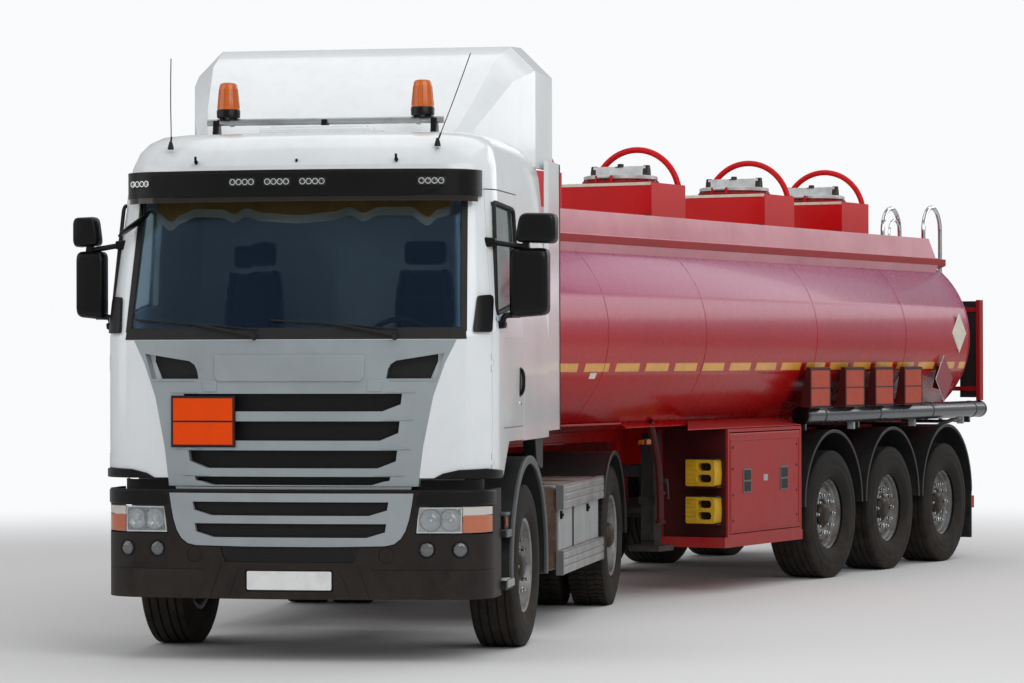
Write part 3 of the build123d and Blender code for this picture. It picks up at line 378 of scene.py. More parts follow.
def clear_material(name, tint, rough=0.02, ior=1.5, transmission=1.0, haze=None, mirrored_tint="#ffffff"):
    """A glass or clear plastic with a faint film of dust that roughens it."""
    material, shader, place = start_material(name)
    film = add_node(material, "TexNoise", {"Scale": 3.0, "Detail": 7.0, "Roughness": 0.65}, {"Vector": place})
    part = add_node(material, "MapRange", {"From Min": 0.4, "From Max": 0.8, "To Max": 0.35}, {"Value": film})
    tone = add_node(material, "Mix", {6: colour(tint), 7: colour(haze or tint)}, {0: part}, data_type="RGBA")
    rougher = add_node(material, "MapRange", {"To Min": rough, "To Max": rough + 0.08}, {"Value": film})
    fill(material, shader, {"IOR": ior, "Specular Tint": colour(mirrored_tint), "Transmission Weight": transmission},
        {"Base Color": tone.outputs[2], "Roughness": rougher})
    return material


print("recipes:", weathered.__name__, "and", clear_material.__name__)

# %% [markdown]
# The cab is white two-pack enamel, the tank red enamel with a painted lilac reflection of the sky on its upper side.
# Road dust reaches to about axle height, and rain draws pale runs down the flat sides.

# %% Paints
WHITE_ENAMEL = weathered("white_acrylic_enamel", "#e6eaec", 0.16, worn="#d6dbdd", wear=0.5, coat=0.5, dust="#a79f93",
    dust_top=1.7, dirt=0.25, streaks=0.1, patch_m=0.6)
# Its dust colour is a dark red-brown, so the tank darkens towards the bottom: partly road dust, partly painted shade.
# The tank's lilac upper side is a painted reflection of the sky, from 1.85 m up.
RED_ENAMEL = weathered("red_alkyd_enamel", "#a30a0b", 0.27, worn="#b01213", wear=0.6, coat=0.12, dust="#6b2a22",
    dust_top=1.6, dirt=0.25, streaks=0.03, patch_m=1.3, grain_mm=140, grain_depth=0.002,
    sky_sheen=("#a65f84", 1.85, 2.5, 0.8), shine=0.3)
# The coaming's pale pink is its red paint with the sky's reflection painted in.
COAMING_RED = weathered("red_enamel_painted_sky_reflection", "#cc8e98", 0.4, worn="#b5737d", wear=0.6, dirt=0.0, streaks=0.12,
    patch_m=0.5, shine=0.3)
BRIGHT_RED = weathered("bright_red_enamel", "#d0060d", 0.32, worn="#b8080d", wear=0.5, coat=0.05, dust="#6b2f2a",
    dust_top=1.4, dirt=0.25, streaks=0.05, patch_m=0.9, shine=0.2)
SILVER_PLASTIC = weathered("silver_painted_plastic", "#a3abaf", 0.38, worn="#8f969a", wear=0.5, metallic=0.35,
    dust="#6d655c", dust_top=1.5, dirt=0.25, patch_m=0.4, grain_mm=1.2)
GREY_PAINT = weathered("grey_chassis_enamel", "#777b7d", 0.45, worn="#6a5a50", wear=0.7, dust="#7b6f62", dust_top=1.3,
    dirt=0.5, streaks=0.3, patch_m=0.35, grain_mm=3)
CHASSIS_PAINT = weathered("black_chassis_paint", "#1c1d1f", 0.5, worn="#33302e", wear=0.6, dust="#6a6056",
    dust_top=1.3, dirt=0.45, patch_m=0.3, grain_mm=2)
WHEEL_PAINT = weathered("silver_wheel_paint", "#8d9091", 0.42, worn="#5b4a40", wear=0.75, metallic=0.4,
    dust="#5d5348", dust_top=2.0, dirt=0.55, patch_m=0.12, grain_mm=2)
print("paints", len(bpy.data.materials))

# %% [markdown]
# The bumper is grained polypropylene, which stays matt and goes brown with dust.
# Visor, mirrors and mudguards are smoother black plastics, so their gloss tells them apart.

# %% Plastics and rubber
BUMPER_PLASTIC = weathered("grained_polypropylene", "#1b1614", 0.5, worn="#251e1b", wear=0.6, dust="#6b5c4f",
    dust_top=1.0, dirt=0.16, patch_m=0.5, grain_mm=1.5, grain_depth=0.0004, shine=0.25)
BLACK_ABS = weathered("black_abs", "#08080a", 0.3, worn="#101012", wear=0.5, dust="#37312c", dust_top=1.2, dirt=0.15,
    patch_m=0.3, grain_mm=1.0, shine=0.25)
MUDGUARD_PLASTIC = weathered("black_polyethylene", "#17181a", 0.42, worn="#222326", wear=0.5, dust="#5f564c",
    dust_top=1.3, dirt=0.35, patch_m=0.3, grain_mm=2.0, shine=0.35)
TRIM_GREY = weathered("grey_moulded_trim", "#5b5f62", 0.5, worn="#6b6f72", wear=0.5, dust="#7a6f63", dust_top=1.4,
    dirt=0.4, patch_m=0.4, grain_mm=1.5)
DASH_PLASTIC = weathered("dark_dashboard_plastic", "#26272b", 0.6, worn="#303136", dirt=0.0, grain_mm=1.2)
RUBBER = weathered("black_epdm_rubber", "#101011", 0.7, worn="#1c1c1d", dust="#5f574e", dirt=0.3, grain_mm=1.0)
TYRE_RUBBER = weathered("tyre_rubber", "#131211", 0.8, worn="#201d1b", wear=0.7, dust="#564b41", dust_top=1.15,
    dirt=0.4, patch_m=0.15, grain_mm=2.0, grain_depth=0.0006, shine=0.25)
# The tube is black gloss: the blue-grey in its colour is a painted sheen of the sky.
HOSE_PVC = weathered("black_pvc_painted_blue_sheen", "#1d252c", 0.25, worn="#2c3740", wear=0.7, coat=0.3, dust="#6d655c",
    dust_top=1.6, dirt=0.25, patch_m=0.3)
YELLOW_PLASTIC = weathered("yellow_polyethylene", "#d9a915", 0.5, worn="#a8820f", wear=0.6, dust="#6f5f45",
    dust_top=1.4, dirt=0.35, patch_m=0.1, grain_mm=2)
print("with plastics and rubber", len(bpy.data.materials))

# %% [markdown]
# Bare metals keep the default index of refraction and get their look from a low or high roughness.
# The screen is thick tinted safety glass, and the side windows are a paler green.

# %% Metals and glass
ALUMINIUM = weathered("extruded_aluminium", "#b9bcbd", 0.34, worn="#8e8f8f", wear=0.7, metallic=0.85, dust="#7a6f63",
    dust_top=1.2, dirt=0.35, patch_m=0.2, grain_mm=1.5)
CHROME = weathered("polished_steel", "#d8dadb", 0.1, worn="#a9abac", wear=0.5, metallic=1.0, dirt=0.1, patch_m=0.2)
CAST_STEEL = weathered("greased_cast_steel", "#2b2a29", 0.38, worn="#4a3a2c", wear=0.7, metallic=0.7, dust="#5f5142",
    dust_top=1.4, dirt=0.5, patch_m=0.1, grain_mm=2)
LID_ALUMINIUM = weathered("white_painted_aluminium", "#cfd2d3", 0.35, worn="#9d9c98", wear=0.6, metallic=0.3,
    dust="#6e665c", dust_top=0.0, dirt=0.0, patch_m=0.15, streaks=0.1)
SCREEN_GLASS = clear_material("tinted_safety_glass", "#bccbd8", 0.015, haze="#a9bccb", mirrored_tint="#7ea3cf")
SIDE_GLASS = clear_material("green_tinted_glass", "#cfe3df", 0.02, haze="#c1d6d2", mirrored_tint="#a9cbd2")
print("with metals and glass", len(bpy.data.materials))

# %% [markdown]
# Each lamp cover is polycarbonate: clear, hazed, milky, amber or red. The strip under the visor is smoked acrylic.
# Behind the clear ones, a silvered tray throws the light back.

# %% Lamp plastics
POLYCARBONATE, ACRYLIC = 1.58, 1.49  # index of refraction
CLEAR_LENS = clear_material("clear_polycarbonate", "#eef3f5", 0.03, POLYCARBONATE)
AMBER_LENS = clear_material("amber_polycarbonate", "#f0791c", 0.12, POLYCARBONATE, transmission=0.55,
    haze="#f59a4e")
RED_LENS = clear_material("red_polycarbonate", "#b3130f", 0.12, POLYCARBONATE, transmission=0.45)
REFLECTOR = weathered("silvered_reflector", "#eef1f2", 0.18, worn="#dfe3e5", wear=0.4, metallic=0.55, dirt=0.0,
    patch_m=0.05)
HAZED_LENS = clear_material("hazed_polycarbonate", "#f4f7f8", 0.04, POLYCARBONATE, transmission=0.88)
TURN_LENS = clear_material("pale_amber_polycarbonate", "#eb8a60", 0.12, POLYCARBONATE, transmission=0.5,
    haze="#f0b49a")
MILK_LENS = clear_material("milky_polycarbonate", "#e9e4dd", 0.25, POLYCARBONATE, transmission=0.35)
SMOKED = clear_material("smoked_acrylic", "#3a2c20", 0.05, ACRYLIC, transmission=0.6)
print("with lamp plastics", len(bpy.data.materials))

# %% [markdown]
# Plates and stripes are a thin reflective film, new and bright at the front and aged along the tank.
# A film is smoother than paint and picks up less dust.

# %% Films and labels
ORANGE_FILM = weathered("orange_reflective_film", "#f04a02", 0.4, worn="#e04502", wear=0.5, dust="#8a4a28",
    dust_top=1.5, dirt=0.2, patch_m=0.1, grain_mm=3, shine=0.15)
OLD_ORANGE = weathered("aged_orange_film", "#b5442c", 0.45, worn="#9c3b28", wear=0.6, dust="#6d4636", dust_top=2.0,
    dirt=0.3, patch_m=0.1, grain_mm=3, shine=0.25)
YELLOW_FILM = weathered("yellow_reflective_tape", "#e2a23c", 0.34, worn="#b98a3c", wear=0.6, coat=0.2, dirt=0.1,
    patch_m=0.1, grain_mm=3)
WHITE_FILM = weathered("white_reflective_film", "#e8e9e8", 0.36, worn="#c9c9c6", wear=0.5, coat=0.2, dirt=0.1,
    patch_m=0.1, grain_mm=3)
RED_FILM = weathered("red_reflective_film", "#8a2233", 0.36, worn="#7a1c2b", wear=0.5, coat=0.2, dirt=0.1,
    patch_m=0.1, grain_mm=3)
PALE_TAG = weathered("pale_printed_label", "#ded9c8", 0.4, worn="#c7bfa6", wear=0.7, coat=0.2, dirt=0.1, patch_m=0.05)
print("with films and labels", len(bpy.data.materials))

# %% [markdown]
# A few finishes belong to one place each: the net behind the slots, the mouldings, the panels, the rusty fronts.
# The cabinet, the flanges and the pipes are red as well, but duller than the tank, so they have their own reds.
# The cabinet's red holds some painted shade, and the darkest red is painted shade on parts that stand in shadow.

# %% Mouldings, panels and dull reds
# Besides the net, this black stands in the chock holes and inside the rear guards as painted shade.
NET_AND_SHADE_BLACK = weathered("black_net_and_painted_shade", "#08080a", 0.6, worn="#111113", wear=0.5, dust="#2d2a27", dirt=0.25,
    grain_mm=3)
ARCH_GREY = weathered("grey_moulding", "#43474a", 0.42, worn="#54585b", wear=0.5, dust="#7a6f63", dust_top=1.3,
    dirt=0.4, patch_m=0.3, grain_mm=1.5)
PANEL_GREY = weathered("pale_grey_enamel", "#a5abad", 0.38, worn="#8d9294", wear=0.6, coat=0.2, dust="#7b6f62",
    dust_top=1.1, dirt=0.4, streaks=0.15, patch_m=0.3)
SILL_FILM = weathered("pale_blue_moulding", "#a9c3cf", 0.25, worn="#c3d3da", wear=0.5, coat=0.4, dirt=0.1,
    patch_m=0.2)
RUSTED_STEEL = weathered("rust_stained_steel", "#4a3427", 0.8, worn="#6e5a49", wear=0.9, dust="#7b6a58", dust_top=1.3,
    dirt=0.5, patch_m=0.12, grain_mm=4, grain_depth=0.001)
# The cabinet's red is darkened and browned: partly dust, partly painted shade, since it stands in shadow.
CABINET_RED = weathered("dusty_red_enamel_painted_shade", "#a3191b", 0.4, worn="#97302c", wear=0.7, dust="#7d4a42", dust_top=1.5,
    dirt=0.45, streaks=0.15, patch_m=0.5, shine=0.3)
DEEP_RED = weathered("deep_red_enamel", "#960a0f", 0.5, worn="#7d090d", wear=0.5, dust="#4a1f1b", dirt=0.1,
    patch_m=0.4, shine=0.3)
# A near-black red for parts that stand in shadow: painted shade, with a little dust over it.
SHADED_RED = weathered("red_enamel_painted_shade", "#4a0b0c", 0.5, worn="#2e0a0a", wear=0.7, dust="#3b2521", dust_top=1.8,
    dirt=0.3, patch_m=0.2, shine=0.3)
print("with mouldings and dull reds", len(bpy.data.materials))

# %% [markdown]
# Cloth is two waves of thread, crossed, with a soft sheen. The same function gives seats, valance and fringe.

# %% Cloth
def woven(name, thread, other, thread_mm, rough=0.9, sheen=0.4):
    """A cloth of crossed threads. Threads too fine to show are drawn at the width that the render can hold."""
    material, shader, place = start_material(name)
    across = add_node(material, "TexWave", {"Scale": 160 / thread_mm, "Distortion": 0.6}, {"Vector": place},
        bands_direction="X")
    down = add_node(material, "TexWave", {"Scale": 160 / thread_mm, "Distortion": 0.6}, {"Vector": place},
        bands_direction="Z")
    weave = add_node(material, "Math", links={0: across.outputs[1], 1: down.outputs[1]}, operation="MULTIPLY")
    patch = add_node(material, "TexNoise", {"Scale": 7.0, "Detail": 6.0}, {"Vector": place})
    blend = add_node(material, "Math", links={0: weave, 1: patch}, operation="ADD")
    half = add_node(material, "MapRange", {"From Max": 2.0}, {"Value": blend})
    tone = add_node(material, "Mix", {6: colour(thread), 7: colour(other)}, {0: half}, data_type="RGBA")
    bump = add_node(material, "Bump", {"Strength": 0.5, "Distance": 0.0006}, {"Height": weave})
    fill(material, shader, {"Roughness": rough, "Sheen Weight": sheen},
        {"Base Color": tone.outputs[2], "Normal": bump})
    return material


SEAT_CLOTH = woven("woven_polyester", "#1a2233", "#35425c", 2.5)
VELOUR = woven("golden_cotton_velour", "#c07c28", "#e8b35c", 2.0, 0.85, 1.0)
FRINGE = woven("beige_cotton_thread", "#e3cfae", "#fff1d8", 1.5, 0.95, 0.5)
print("cloths", SEAT_CLOTH.name, VELOUR.name, FRINGE.name)

# %% [markdown]

# %% [markdown]
# A CAD solid arrives as loose triangles with knife edges, and no real panel has those.
# A copy is merged, its flat faces are joined up, and a small bevel catches the light along each edge.
# The copy then stands for the node, which stays in the simulation.

# %% Dress a CAD node
def cut_by(mesh, tool):
    """The mesh with a tool's volume taken away."""
    main, knife = linked("main", mesh), linked("knife", tool)
    cut = main.modifiers.new("cut", "BOOLEAN")
    cut.operation = "DIFFERENCE"
    cut.solver = "EXACT"
    cut.object = knife
    made = plain_mesh(main)
    bpy.data.objects.remove(knife)
    return made


def dressed(node, material, bevel=0.003, smooth=28, cut=None):
    """A bevelled, smooth-shaded copy that replaces the CAD node, less a tool's volume if there is one."""
    source = frame["nodes"][node]
    bm = bmesh.new()
    bm.from_mesh(source.data)
    bmesh.ops.remove_doubles(bm, verts=bm.verts[:], dist=0.00005)
    bmesh.ops.dissolve_limit(bm, angle_limit=math.radians(0.8), verts=bm.verts[:], edges=bm.edges[:])
    mesh = bpy.data.meshes.new(node)
    bm.to_mesh(mesh)
    bm.free()
    if cut:
        mesh = cut_by(mesh, cut)
    made = piece(node + "_look", mesh, source["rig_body"], material, Matrix.Identity(4), smooth, bevel)
    if bevel:
        made.modifiers["edges"].harden_normals = True
    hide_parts(node)
    return made


PLAIN_NODES = (
    # node, material, bevel in metres
    ("cab_shell", WHITE_ENAMEL, 0.003), ("left_door", WHITE_ENAMEL, 0.004), ("right_door", WHITE_ENAMEL, 0.004),
    ("air_deflectors", WHITE_ENAMEL, 0.006), ("sun_visor", BLACK_ABS, 0.006),
    ("windscreen", SCREEN_GLASS, 0.0), ("left_window", SIDE_GLASS, 0.0), ("right_window", SIDE_GLASS, 0.0),
    ("dashboard", DASH_PLASTIC, 0.01), ("frame_rails", CHASSIS_PAINT, 0.002), ("power_train", CAST_STEEL, 0.02),
    ("front_mudguards", MUDGUARD_PLASTIC, 0.006),
    ("side_tanks", GREY_PAINT, 0.006), ("drive_mudguards", MUDGUARD_PLASTIC, 0.005),
    ("fifth_wheel", CAST_STEEL, 0.004), ("front_axle", CHASSIS_PAINT, 0.004), ("drive_axle", CHASSIS_PAINT, 0.004),
    ("left_knuckle", CAST_STEEL, 0.003), ("right_knuckle", CAST_STEEL, 0.003), ("tank", RED_ENAMEL, 0.0),
    ("coaming", COAMING_RED, 0.004), ("manhole_boxes", BRIGHT_RED, 0.004),
    ("landing_legs", CHASSIS_PAINT, 0.004), ("trailer_axles", CHASSIS_PAINT, 0.004),
    ("trailer_mudguards", MUDGUARD_PLASTIC, 0.004), ("hose_tubes", HOSE_PVC, 0.003),
    ("valve_cabinet", CABINET_RED, 0.004), ("cabinet_door", CABINET_RED, 0.004),
    ("manhole_lid_1", LID_ALUMINIUM, 0.003), ("manhole_lid_2", LID_ALUMINIUM, 0.003),
    ("manhole_lid_3", LID_ALUMINIUM, 0.003), ("manhole_lid_4", LID_ALUMINIUM, 0.003),
)
for node, material, bevel in PLAIN_NODES:
    dressed(node, material, bevel, smooth=20 if node == "tank" else 28)
print("dressed", len(PLAIN_NODES), "nodes")

# %% [markdown]
# The cab's front is a bowed wall with tangent round corners, and it leans back from the foot of the windscreen.
# A panel, a seal or a lamp follows that wall, so it is easier to draw flat and then wrap.
# Here a flat place is a length along the wall and a height, and a third number stands out from the wall.

# %% Wrap flat pieces round the front
# Rows of height, front face and half width.
CAB_LEVELS = ((1.11, 0.06, 1.215), (1.96, 0.06, 1.215), (2.86, 0.29, 1.165), (3.01, 0.345, 1.15), (3.11, 0.41, 1.122),
    (3.175, 0.49, 1.08), (3.215, 0.58, 1.025), (3.23, 0.68, 0.96))
# In from the side to where a corner starts, depth of the bow, depth of the corner behind it.
CORNER_IN, FRONT_BOW, CORNER_LEAVE = 0.215, 0.09, 0.2576


def plan_point(along, front, half):
    """Place and outward direction on a bowed front with round corners, by length along it from the middle."""
    bow_x = half - CORNER_IN
    radius = (bow_x ** 2 + FRONT_BOW ** 2) / (2 * FRONT_BOW)
    leave = math.asin(bow_x / radius)
    side = math.copysign(1, along)
    along = abs(along)
    if along <= radius * leave:
        turn = along / radius
        return (side * radius * math.sin(turn), front + radius * (1 - math.cos(turn)), side * math.sin(turn),
            -math.cos(turn))
    normal = (-math.sin(leave), math.cos(leave))
    corner = (CORNER_IN ** 2 + CORNER_LEAVE ** 2) / (2 * (CORNER_IN * normal[0] + CORNER_LEAVE * normal[1]))
    centre = (bow_x + normal[0] * corner, front + FRONT_BOW + normal[1] * corner)
    turn = leave + (along - radius * leave) / corner
    if turn <= math.pi / 2:
        return (side * (centre[0] + corner * math.sin(turn)), centre[1] - corner * math.cos(turn),
            side * math.sin(turn), -math.cos(turn))
    return side * (centre[0] + corner), centre[1] + corner * (turn - math.pi / 2), side, 0.0


def cab_wall(height):
    """The cab's front face and half width at a height."""
    for low, high in zip(CAB_LEVELS, CAB_LEVELS[1:]):
        if height <= high[0] or high is CAB_LEVELS[-1]:
            part = (height - low[0]) / (high[0] - low[0])
            return low[1] + (high[1] - low[1]) * part, low[2] + (high[2] - low[2]) * part


def bumper_wall(height):
    """The bumper's front face and half width."""
    return 0.0, 1.195


def visor_wall(height):
    """The sun visor's front face and half width."""
    return 0.08, 1.105


for along in (0, 1.3):
    print("front of the cab", along, "m from its middle", plan_point(along, *cab_wall(1.5))[:2])

# %% [markdown]
# A flat plate can't bend without edges to bend at, so it is cut into strips before it is wrapped.
# The same few lines then give every panel, seal, slot and lens of the front.

# %% Bend flat pieces
def wrap(mesh, wall):
    """Bends a flat mesh of length, stand-off and height round a wall. Its -Y faces outwards."""
    for vert in mesh.vertices:
        along, out, height = vert.co.x, -vert.co.y, vert.co.z
        x, y, nx, ny = plan_point(along, *wall(height))
        vert.co = (x + nx * out, y + ny * out, height)
    return mesh


def sliced(mesh, step=0.04, axis=0):
    """Cuts a mesh across an axis every so often, so that it can bend."""
    bm = bmesh.new()
    bm.from_mesh(mesh)
    low = min(vert.co[axis] for vert in bm.verts)
    high = max(vert.co[axis] for vert in bm.verts)
    normal = Vector((0, 0, 0))
    normal[axis] = 1
    for cut in range(1, int((high - low) / step) + 1):
        place = normal * (low + cut * step)
        bmesh.ops.bisect_plane(bm, geom=bm.verts[:] + bm.edges[:] + bm.faces[:], plane_co=place, plane_no=normal)
    return mesh_of(bm)


def front_plate(outline, low, high, wall=cab_wall, step=0.04):
    """A plate over an outline of length and height, standing out from one distance to another."""
    return wrap(sliced(outline_plate(outline, -high, -low), step), wall)


def rounded(low_x, high_x, low_z, high_z, radius, steps=5):
    """The outline of a rectangle with round corners."""
    corners = ((high_x - radius, high_z - radius, 0), (low_x + radius, high_z - radius, 90),
        (low_x + radius, low_z + radius, 180), (high_x - radius, low_z + radius, 270))
    turns = [(x, z, math.radians(start + 90 * step / steps)) for x, z, start in corners for step in range(steps + 1)]
    return [(x + radius * math.cos(turn), z + radius * math.sin(turn)) for x, z, turn in turns]


print("an outline with round corners has", len(rounded(0, 1, 0, 1, 0.1)), "points")

# %% [markdown]
# Studs, tread blocks, lamp lenses and mesh bars are one small shape, set out in a ring or a row.
# They could be copied in a loop, but Geometry Nodes keep the count and the spacing as named inputs.
# Instances are made real at the end, so each ring or row comes out as one plain mesh. Instances are
# made real at the end, because the exported model can't hold them.

# %% Ring and row of parts
def ready_tree(name, kind):
    """A geometry tree that sets copies of a part in a ring about Z, facing out, or in a row."""
    tree = bpy.data.node_groups.new(name, "GeometryNodeTree")
    for label, data in (("Geometry", "Geometry"), ("Part", "Object"), ("Count", "Int"), ("Radius", "Float"),
            ("Step", "Vector"), ("Finish", "Material")):
        tree.interface.new_socket(label, in_out="INPUT", socket_type="NodeSocket" + data)
    tree.interface.new_socket("Geometry", in_out="OUTPUT", socket_type="NodeSocketGeometry")
    nodes, link = tree.nodes, tree.links.new
    given = nodes.new("NodeGroupInput")
    part = nodes.new("GeometryNodeObjectInfo")
    link(given.outputs["Part"], part.inputs["Object"])
    copies = nodes.new("GeometryNodeInstanceOnPoints")
    link(part.outputs["Geometry"], copies.inputs["Instance"])
    if kind == "ring":
        ring = nodes.new("GeometryNodeMeshCircle")
        link(given.outputs["Count"], ring.inputs["Vertices"])
        link(given.outputs["Radius"], ring.inputs["Radius"])
        link(ring.outputs[0], copies.inputs["Points"])
        index = nodes.new("GeometryNodeInputIndex")
        share = nodes.new("ShaderNodeMath")
        share.operation = "DIVIDE"
        link(index.outputs[0], share.inputs[0])
        link(given.outputs["Count"], share.inputs[1])
        turn = nodes.new("ShaderNodeMath")
        turn.operation = "MULTIPLY"
        turn.inputs[1].default_value = 2 * math.pi
        link(share.outputs[0], turn.inputs[0])
        facing = nodes.new("ShaderNodeCombineXYZ")
        link(turn.outputs[0], facing.inputs["Z"])
        link(facing.outputs[0], copies.inputs["Rotation"])
    else:
        row = nodes.new("GeometryNodeMeshLine")
        row.mode = "OFFSET"
        link(given.outputs["Count"], row.inputs["Count"])
        link(given.outputs["Step"], row.inputs["Offset"])
        link(row.outputs[0], copies.inputs["Points"])
    real = nodes.new("GeometryNodeRealizeInstances")
    link(copies.outputs[0], real.inputs[0])
    paint = nodes.new("GeometryNodeSetMaterial")
    link(real.outputs[0], paint.inputs["Geometry"])
    link(given.outputs["Finish"], paint.inputs["Material"])
    result = nodes.new("NodeGroupOutput")
    link(paint.outputs[0], result.inputs[0])
    return tree


TO_X = Matrix.Rotation(math.pi / 2, 4, "Y")  # turns a ring about Z into one about X
TREES = {kind: ready_tree(kind + "_of_parts", kind) for kind in ("ring", "row")}


def repeated(kind, part_mesh, count, material, radius=0.0, step=(0, 0, 0)):
    """The plain mesh of a ring or row of copies of a small mesh."""
    part, holder = linked("part", part_mesh), linked("holder", bpy.data.meshes.new("holder"))
    tree = TREES[kind]
    setting = holder.modifiers.new("copies", "NODES")
    setting.node_group = tree
    sockets = {item.name: item.identifier for item in tree.interface.items_tree if item.in_out == "INPUT"}
    values = {"Part": part, "Count": count, "Radius": radius, "Step": step, "Finish": material}
    for name, value in values.items():
        setting[sockets[name]] = value
    made = plain_mesh(holder)
    bpy.data.objects.remove(part)
    return made


print("geometry trees", [tree.name for tree in TREES.values()])

# %% [markdown]
# A truck tyre is a closed ring: beads on the rim, bulging sidewalls, square shoulders and a ribbed tread.
# Turning its section about the axle gives the grooves that run round it, and a ring of small blocks gives the lugs.
# A wheel is drawn about X with its outer face to +X, and half a turn about Z makes the one for the other side.

# %% Tyres
BEAD_RADIUS = 0.286


def tyre_section(radius, width, grooves, depth=0.012):
    """Closed half section of a tyre: bead, sidewall with two raised lines, shoulder, grooved tread and back."""
    half = width / 2
    rise = radius - BEAD_RADIUS
    bulge = ((0.01, 0.22), (0.003, 0.36), (0, 0.42), (0.002, 0.46), (0.002, 0.62), (0.0005, 0.65), (0.004, 0.69),
        (0.009, 0.84))
    wall = [(half - 0.04, BEAD_RADIUS), (half - 0.028, 0.303)]
    wall += [(half - inwards, BEAD_RADIUS + rise * share) for inwards, share in bulge]
    wall += [(half - 0.016, radius - 0.02), (half - 0.024, radius - 0.008), (half - 0.036, radius - 0.001)]
    tread = []
    for place in grooves:
        tread += [(place + 0.007, radius), (place + 0.004, radius - depth), (place - 0.004, radius - depth),
            (place - 0.007, radius)]
    back = [(-x, r) for x, r in reversed(wall)]
    inside = [(-half + 0.045, 0.31), (half - 0.045, 0.31)]
    return wall + tread + back + inside


def lug_ring(radius, place, size, count, lean):
    """A ring of tread blocks at a place across the tread. Each leans a little across the tyre."""
    long, wide, high = size
    block = boxes([(-high, 0.0, -wide / 2, wide / 2, place - long / 2, place + long / 2)])
    for vert in block.vertices:
        vert.co.y += (vert.co.z - place) * lean
    ring = repeated("ring", block, count, TYRE_RUBBER, radius=radius - 0.0005)
    return moved(ring, TO_X)


def steer_tyre():
    """A ribbed tyre, with narrow cross cuts at its shoulders."""
    body = turned(tyre_section(0.5135, 0.31, (0.085, 0.03, -0.03, -0.085)), steps=96, loop=True)
    cuts = [lug_ring(0.514, place, (0.03, 0.019, 0.006), 84, lean) for place, lean in ((0.112, 0.2), (-0.112, -0.2))]
    return joined([body] + cuts)


def block_tyre(radius, width, inner, outer, count):
    """A tyre with staggered tread blocks on a lower base."""
    body = turned(tyre_section(radius - 0.009, width, (0.0,), 0.004), steps=96, loop=True)
    edge, middle = (0.06, 0.036, 0.013), (0.052, 0.03, 0.013)
    places = ((outer, edge, 0.35), (-outer, edge, -0.35), (inner, middle, -0.25), (-inner, middle, 0.25))
    rows = [lug_ring(radius, place, size, count, lean) for place, size, lean in places]
    return joined([body] + rows)


def trailer_tyre():
    """A wide tyre with five grooves and fine shoulder blocks."""
    body = turned(tyre_section(0.5295, 0.385, (0.115, 0.058, 0.0, -0.058, -0.115)), steps=96, loop=True)
    return joined([body] + [lug_ring(0.53, place, (0.028, 0.02, 0.006), 90, 0.0) for place in (0.15, -0.15)])


TYRES = {"steer": steer_tyre(), "drive": block_tyre(0.514, 0.3, 0.034, 0.098, 64), "trailer": trailer_tyre()}
for kind, mesh in TYRES.items():
    print("tyre", kind, len(mesh.polygons), "faces")

# %% [markdown]
# The rim is pressed steel, painted silver: a flange each side, a deep well, and a disc with ten hand holes.
# The disc is bolted over the hub with ten studs, and the hub's cap bulges out through the middle.
# The holes are cut by a boolean with a ring of short bars, the one job where a boolean is the plain choice.

# %% Rims
def rim_mesh(half, disc, dish):
    """A rim's barrel and disc with ten hand holes. The dish is how far the disc's middle stands out."""
    back = ([(disc + dish - 0.03, 0.2), (disc - 0.016, 0.226)] if dish > 0
        else [(disc + dish - 0.03, 0.209), (disc + dish * 0.7 - 0.016, 0.234)])
    profile = [(half + 0.013, 0.2985), (half + 0.013, 0.291), (half + 0.006, 0.279), (half - 0.02, 0.273),
        (disc + 0.03, 0.262), (disc + 0.006, 0.25), (disc + dish * 0.7, 0.228), (disc + dish, 0.205),
        (disc + dish, 0.128), (disc + dish - 0.012, 0.122), (disc + dish - 0.012, 0.1), (disc + dish - 0.04, 0.1),
        *back, (disc - 0.014, 0.262), (-half - 0.005, 0.268), (-half - 0.013, 0.278), (-half - 0.013, 0.2985),
        (-half, 0.2985), (-half, 0.2857), (half, 0.2857), (half, 0.2985)]
    shell = turned(profile, steps=80, loop=True)
    bar = turned([(-0.08, 0.0), (-0.08, 0.026), (0.08, 0.026), (0.08, 0.0)], axis="Z", steps=14)
    bar.transform(Matrix.Diagonal((0.72, 1.0, 1.0, 1.0)))
    bars = repeated("ring", bar, 10, WHEEL_PAINT, radius=0.233)
    bars = moved(bars, shift(disc + min(dish, 0) / 2, 0, 0) @ TO_X)
    return cut_by(shell, bars)


def hub_mesh(half, disc, hub_end, dish):
    """Brake drum, hub, cap and its flange bolts."""
    face = disc + dish - 0.012
    drum = turned([(-half - 0.024, 0.0), (-half - 0.024, 0.203), (disc - 0.05, 0.203), (disc - 0.035, 0.16),
        (face, 0.12), (face, 0.0)], steps=48)
    cap = turned([(face - 0.02, 0.0), (face - 0.02, 0.112), (face + 0.022, 0.108), (face + 0.03, 0.1),
        (hub_end - 0.03, 0.09), (hub_end - 0.012, 0.078), (hub_end, 0.055), (hub_end, 0.0)], steps=48)
    bolt = turned([(0, 0), (0, 0.0075), (0.009, 0.0075), (0.009, 0)], axis="Z", steps=6)
    bolts = moved(repeated("ring", bolt, 8, CAST_STEEL, radius=0.098), shift(face + 0.026, 0, 0) @ TO_X)
    return joined([drum, cap, bolts])


def stud_mesh(disc, dish):
    """Ten studs with collared nuts."""
    nut = joined([turned([(0, 0), (0, 0.021), (0.007, 0.021), (0.007, 0)], axis="Z", steps=18),
        turned([(0.006, 0), (0.006, 0.0165), (0.028, 0.0165), (0.03, 0.0145), (0.03, 0)], axis="Z", steps=6),
        turned([(0.029, 0), (0.029, 0.0105), (0.046, 0.0105), (0.048, 0.009), (0.048, 0)], axis="Z", steps=12)])
    ring = repeated("ring", nut, 10, CAST_STEEL, radius=0.1675)
    return moved(ring, shift(disc + dish - 0.0005, 0, 0) @ TO_X @ Matrix.Rotation(math.pi / 10, 4, "Z"))


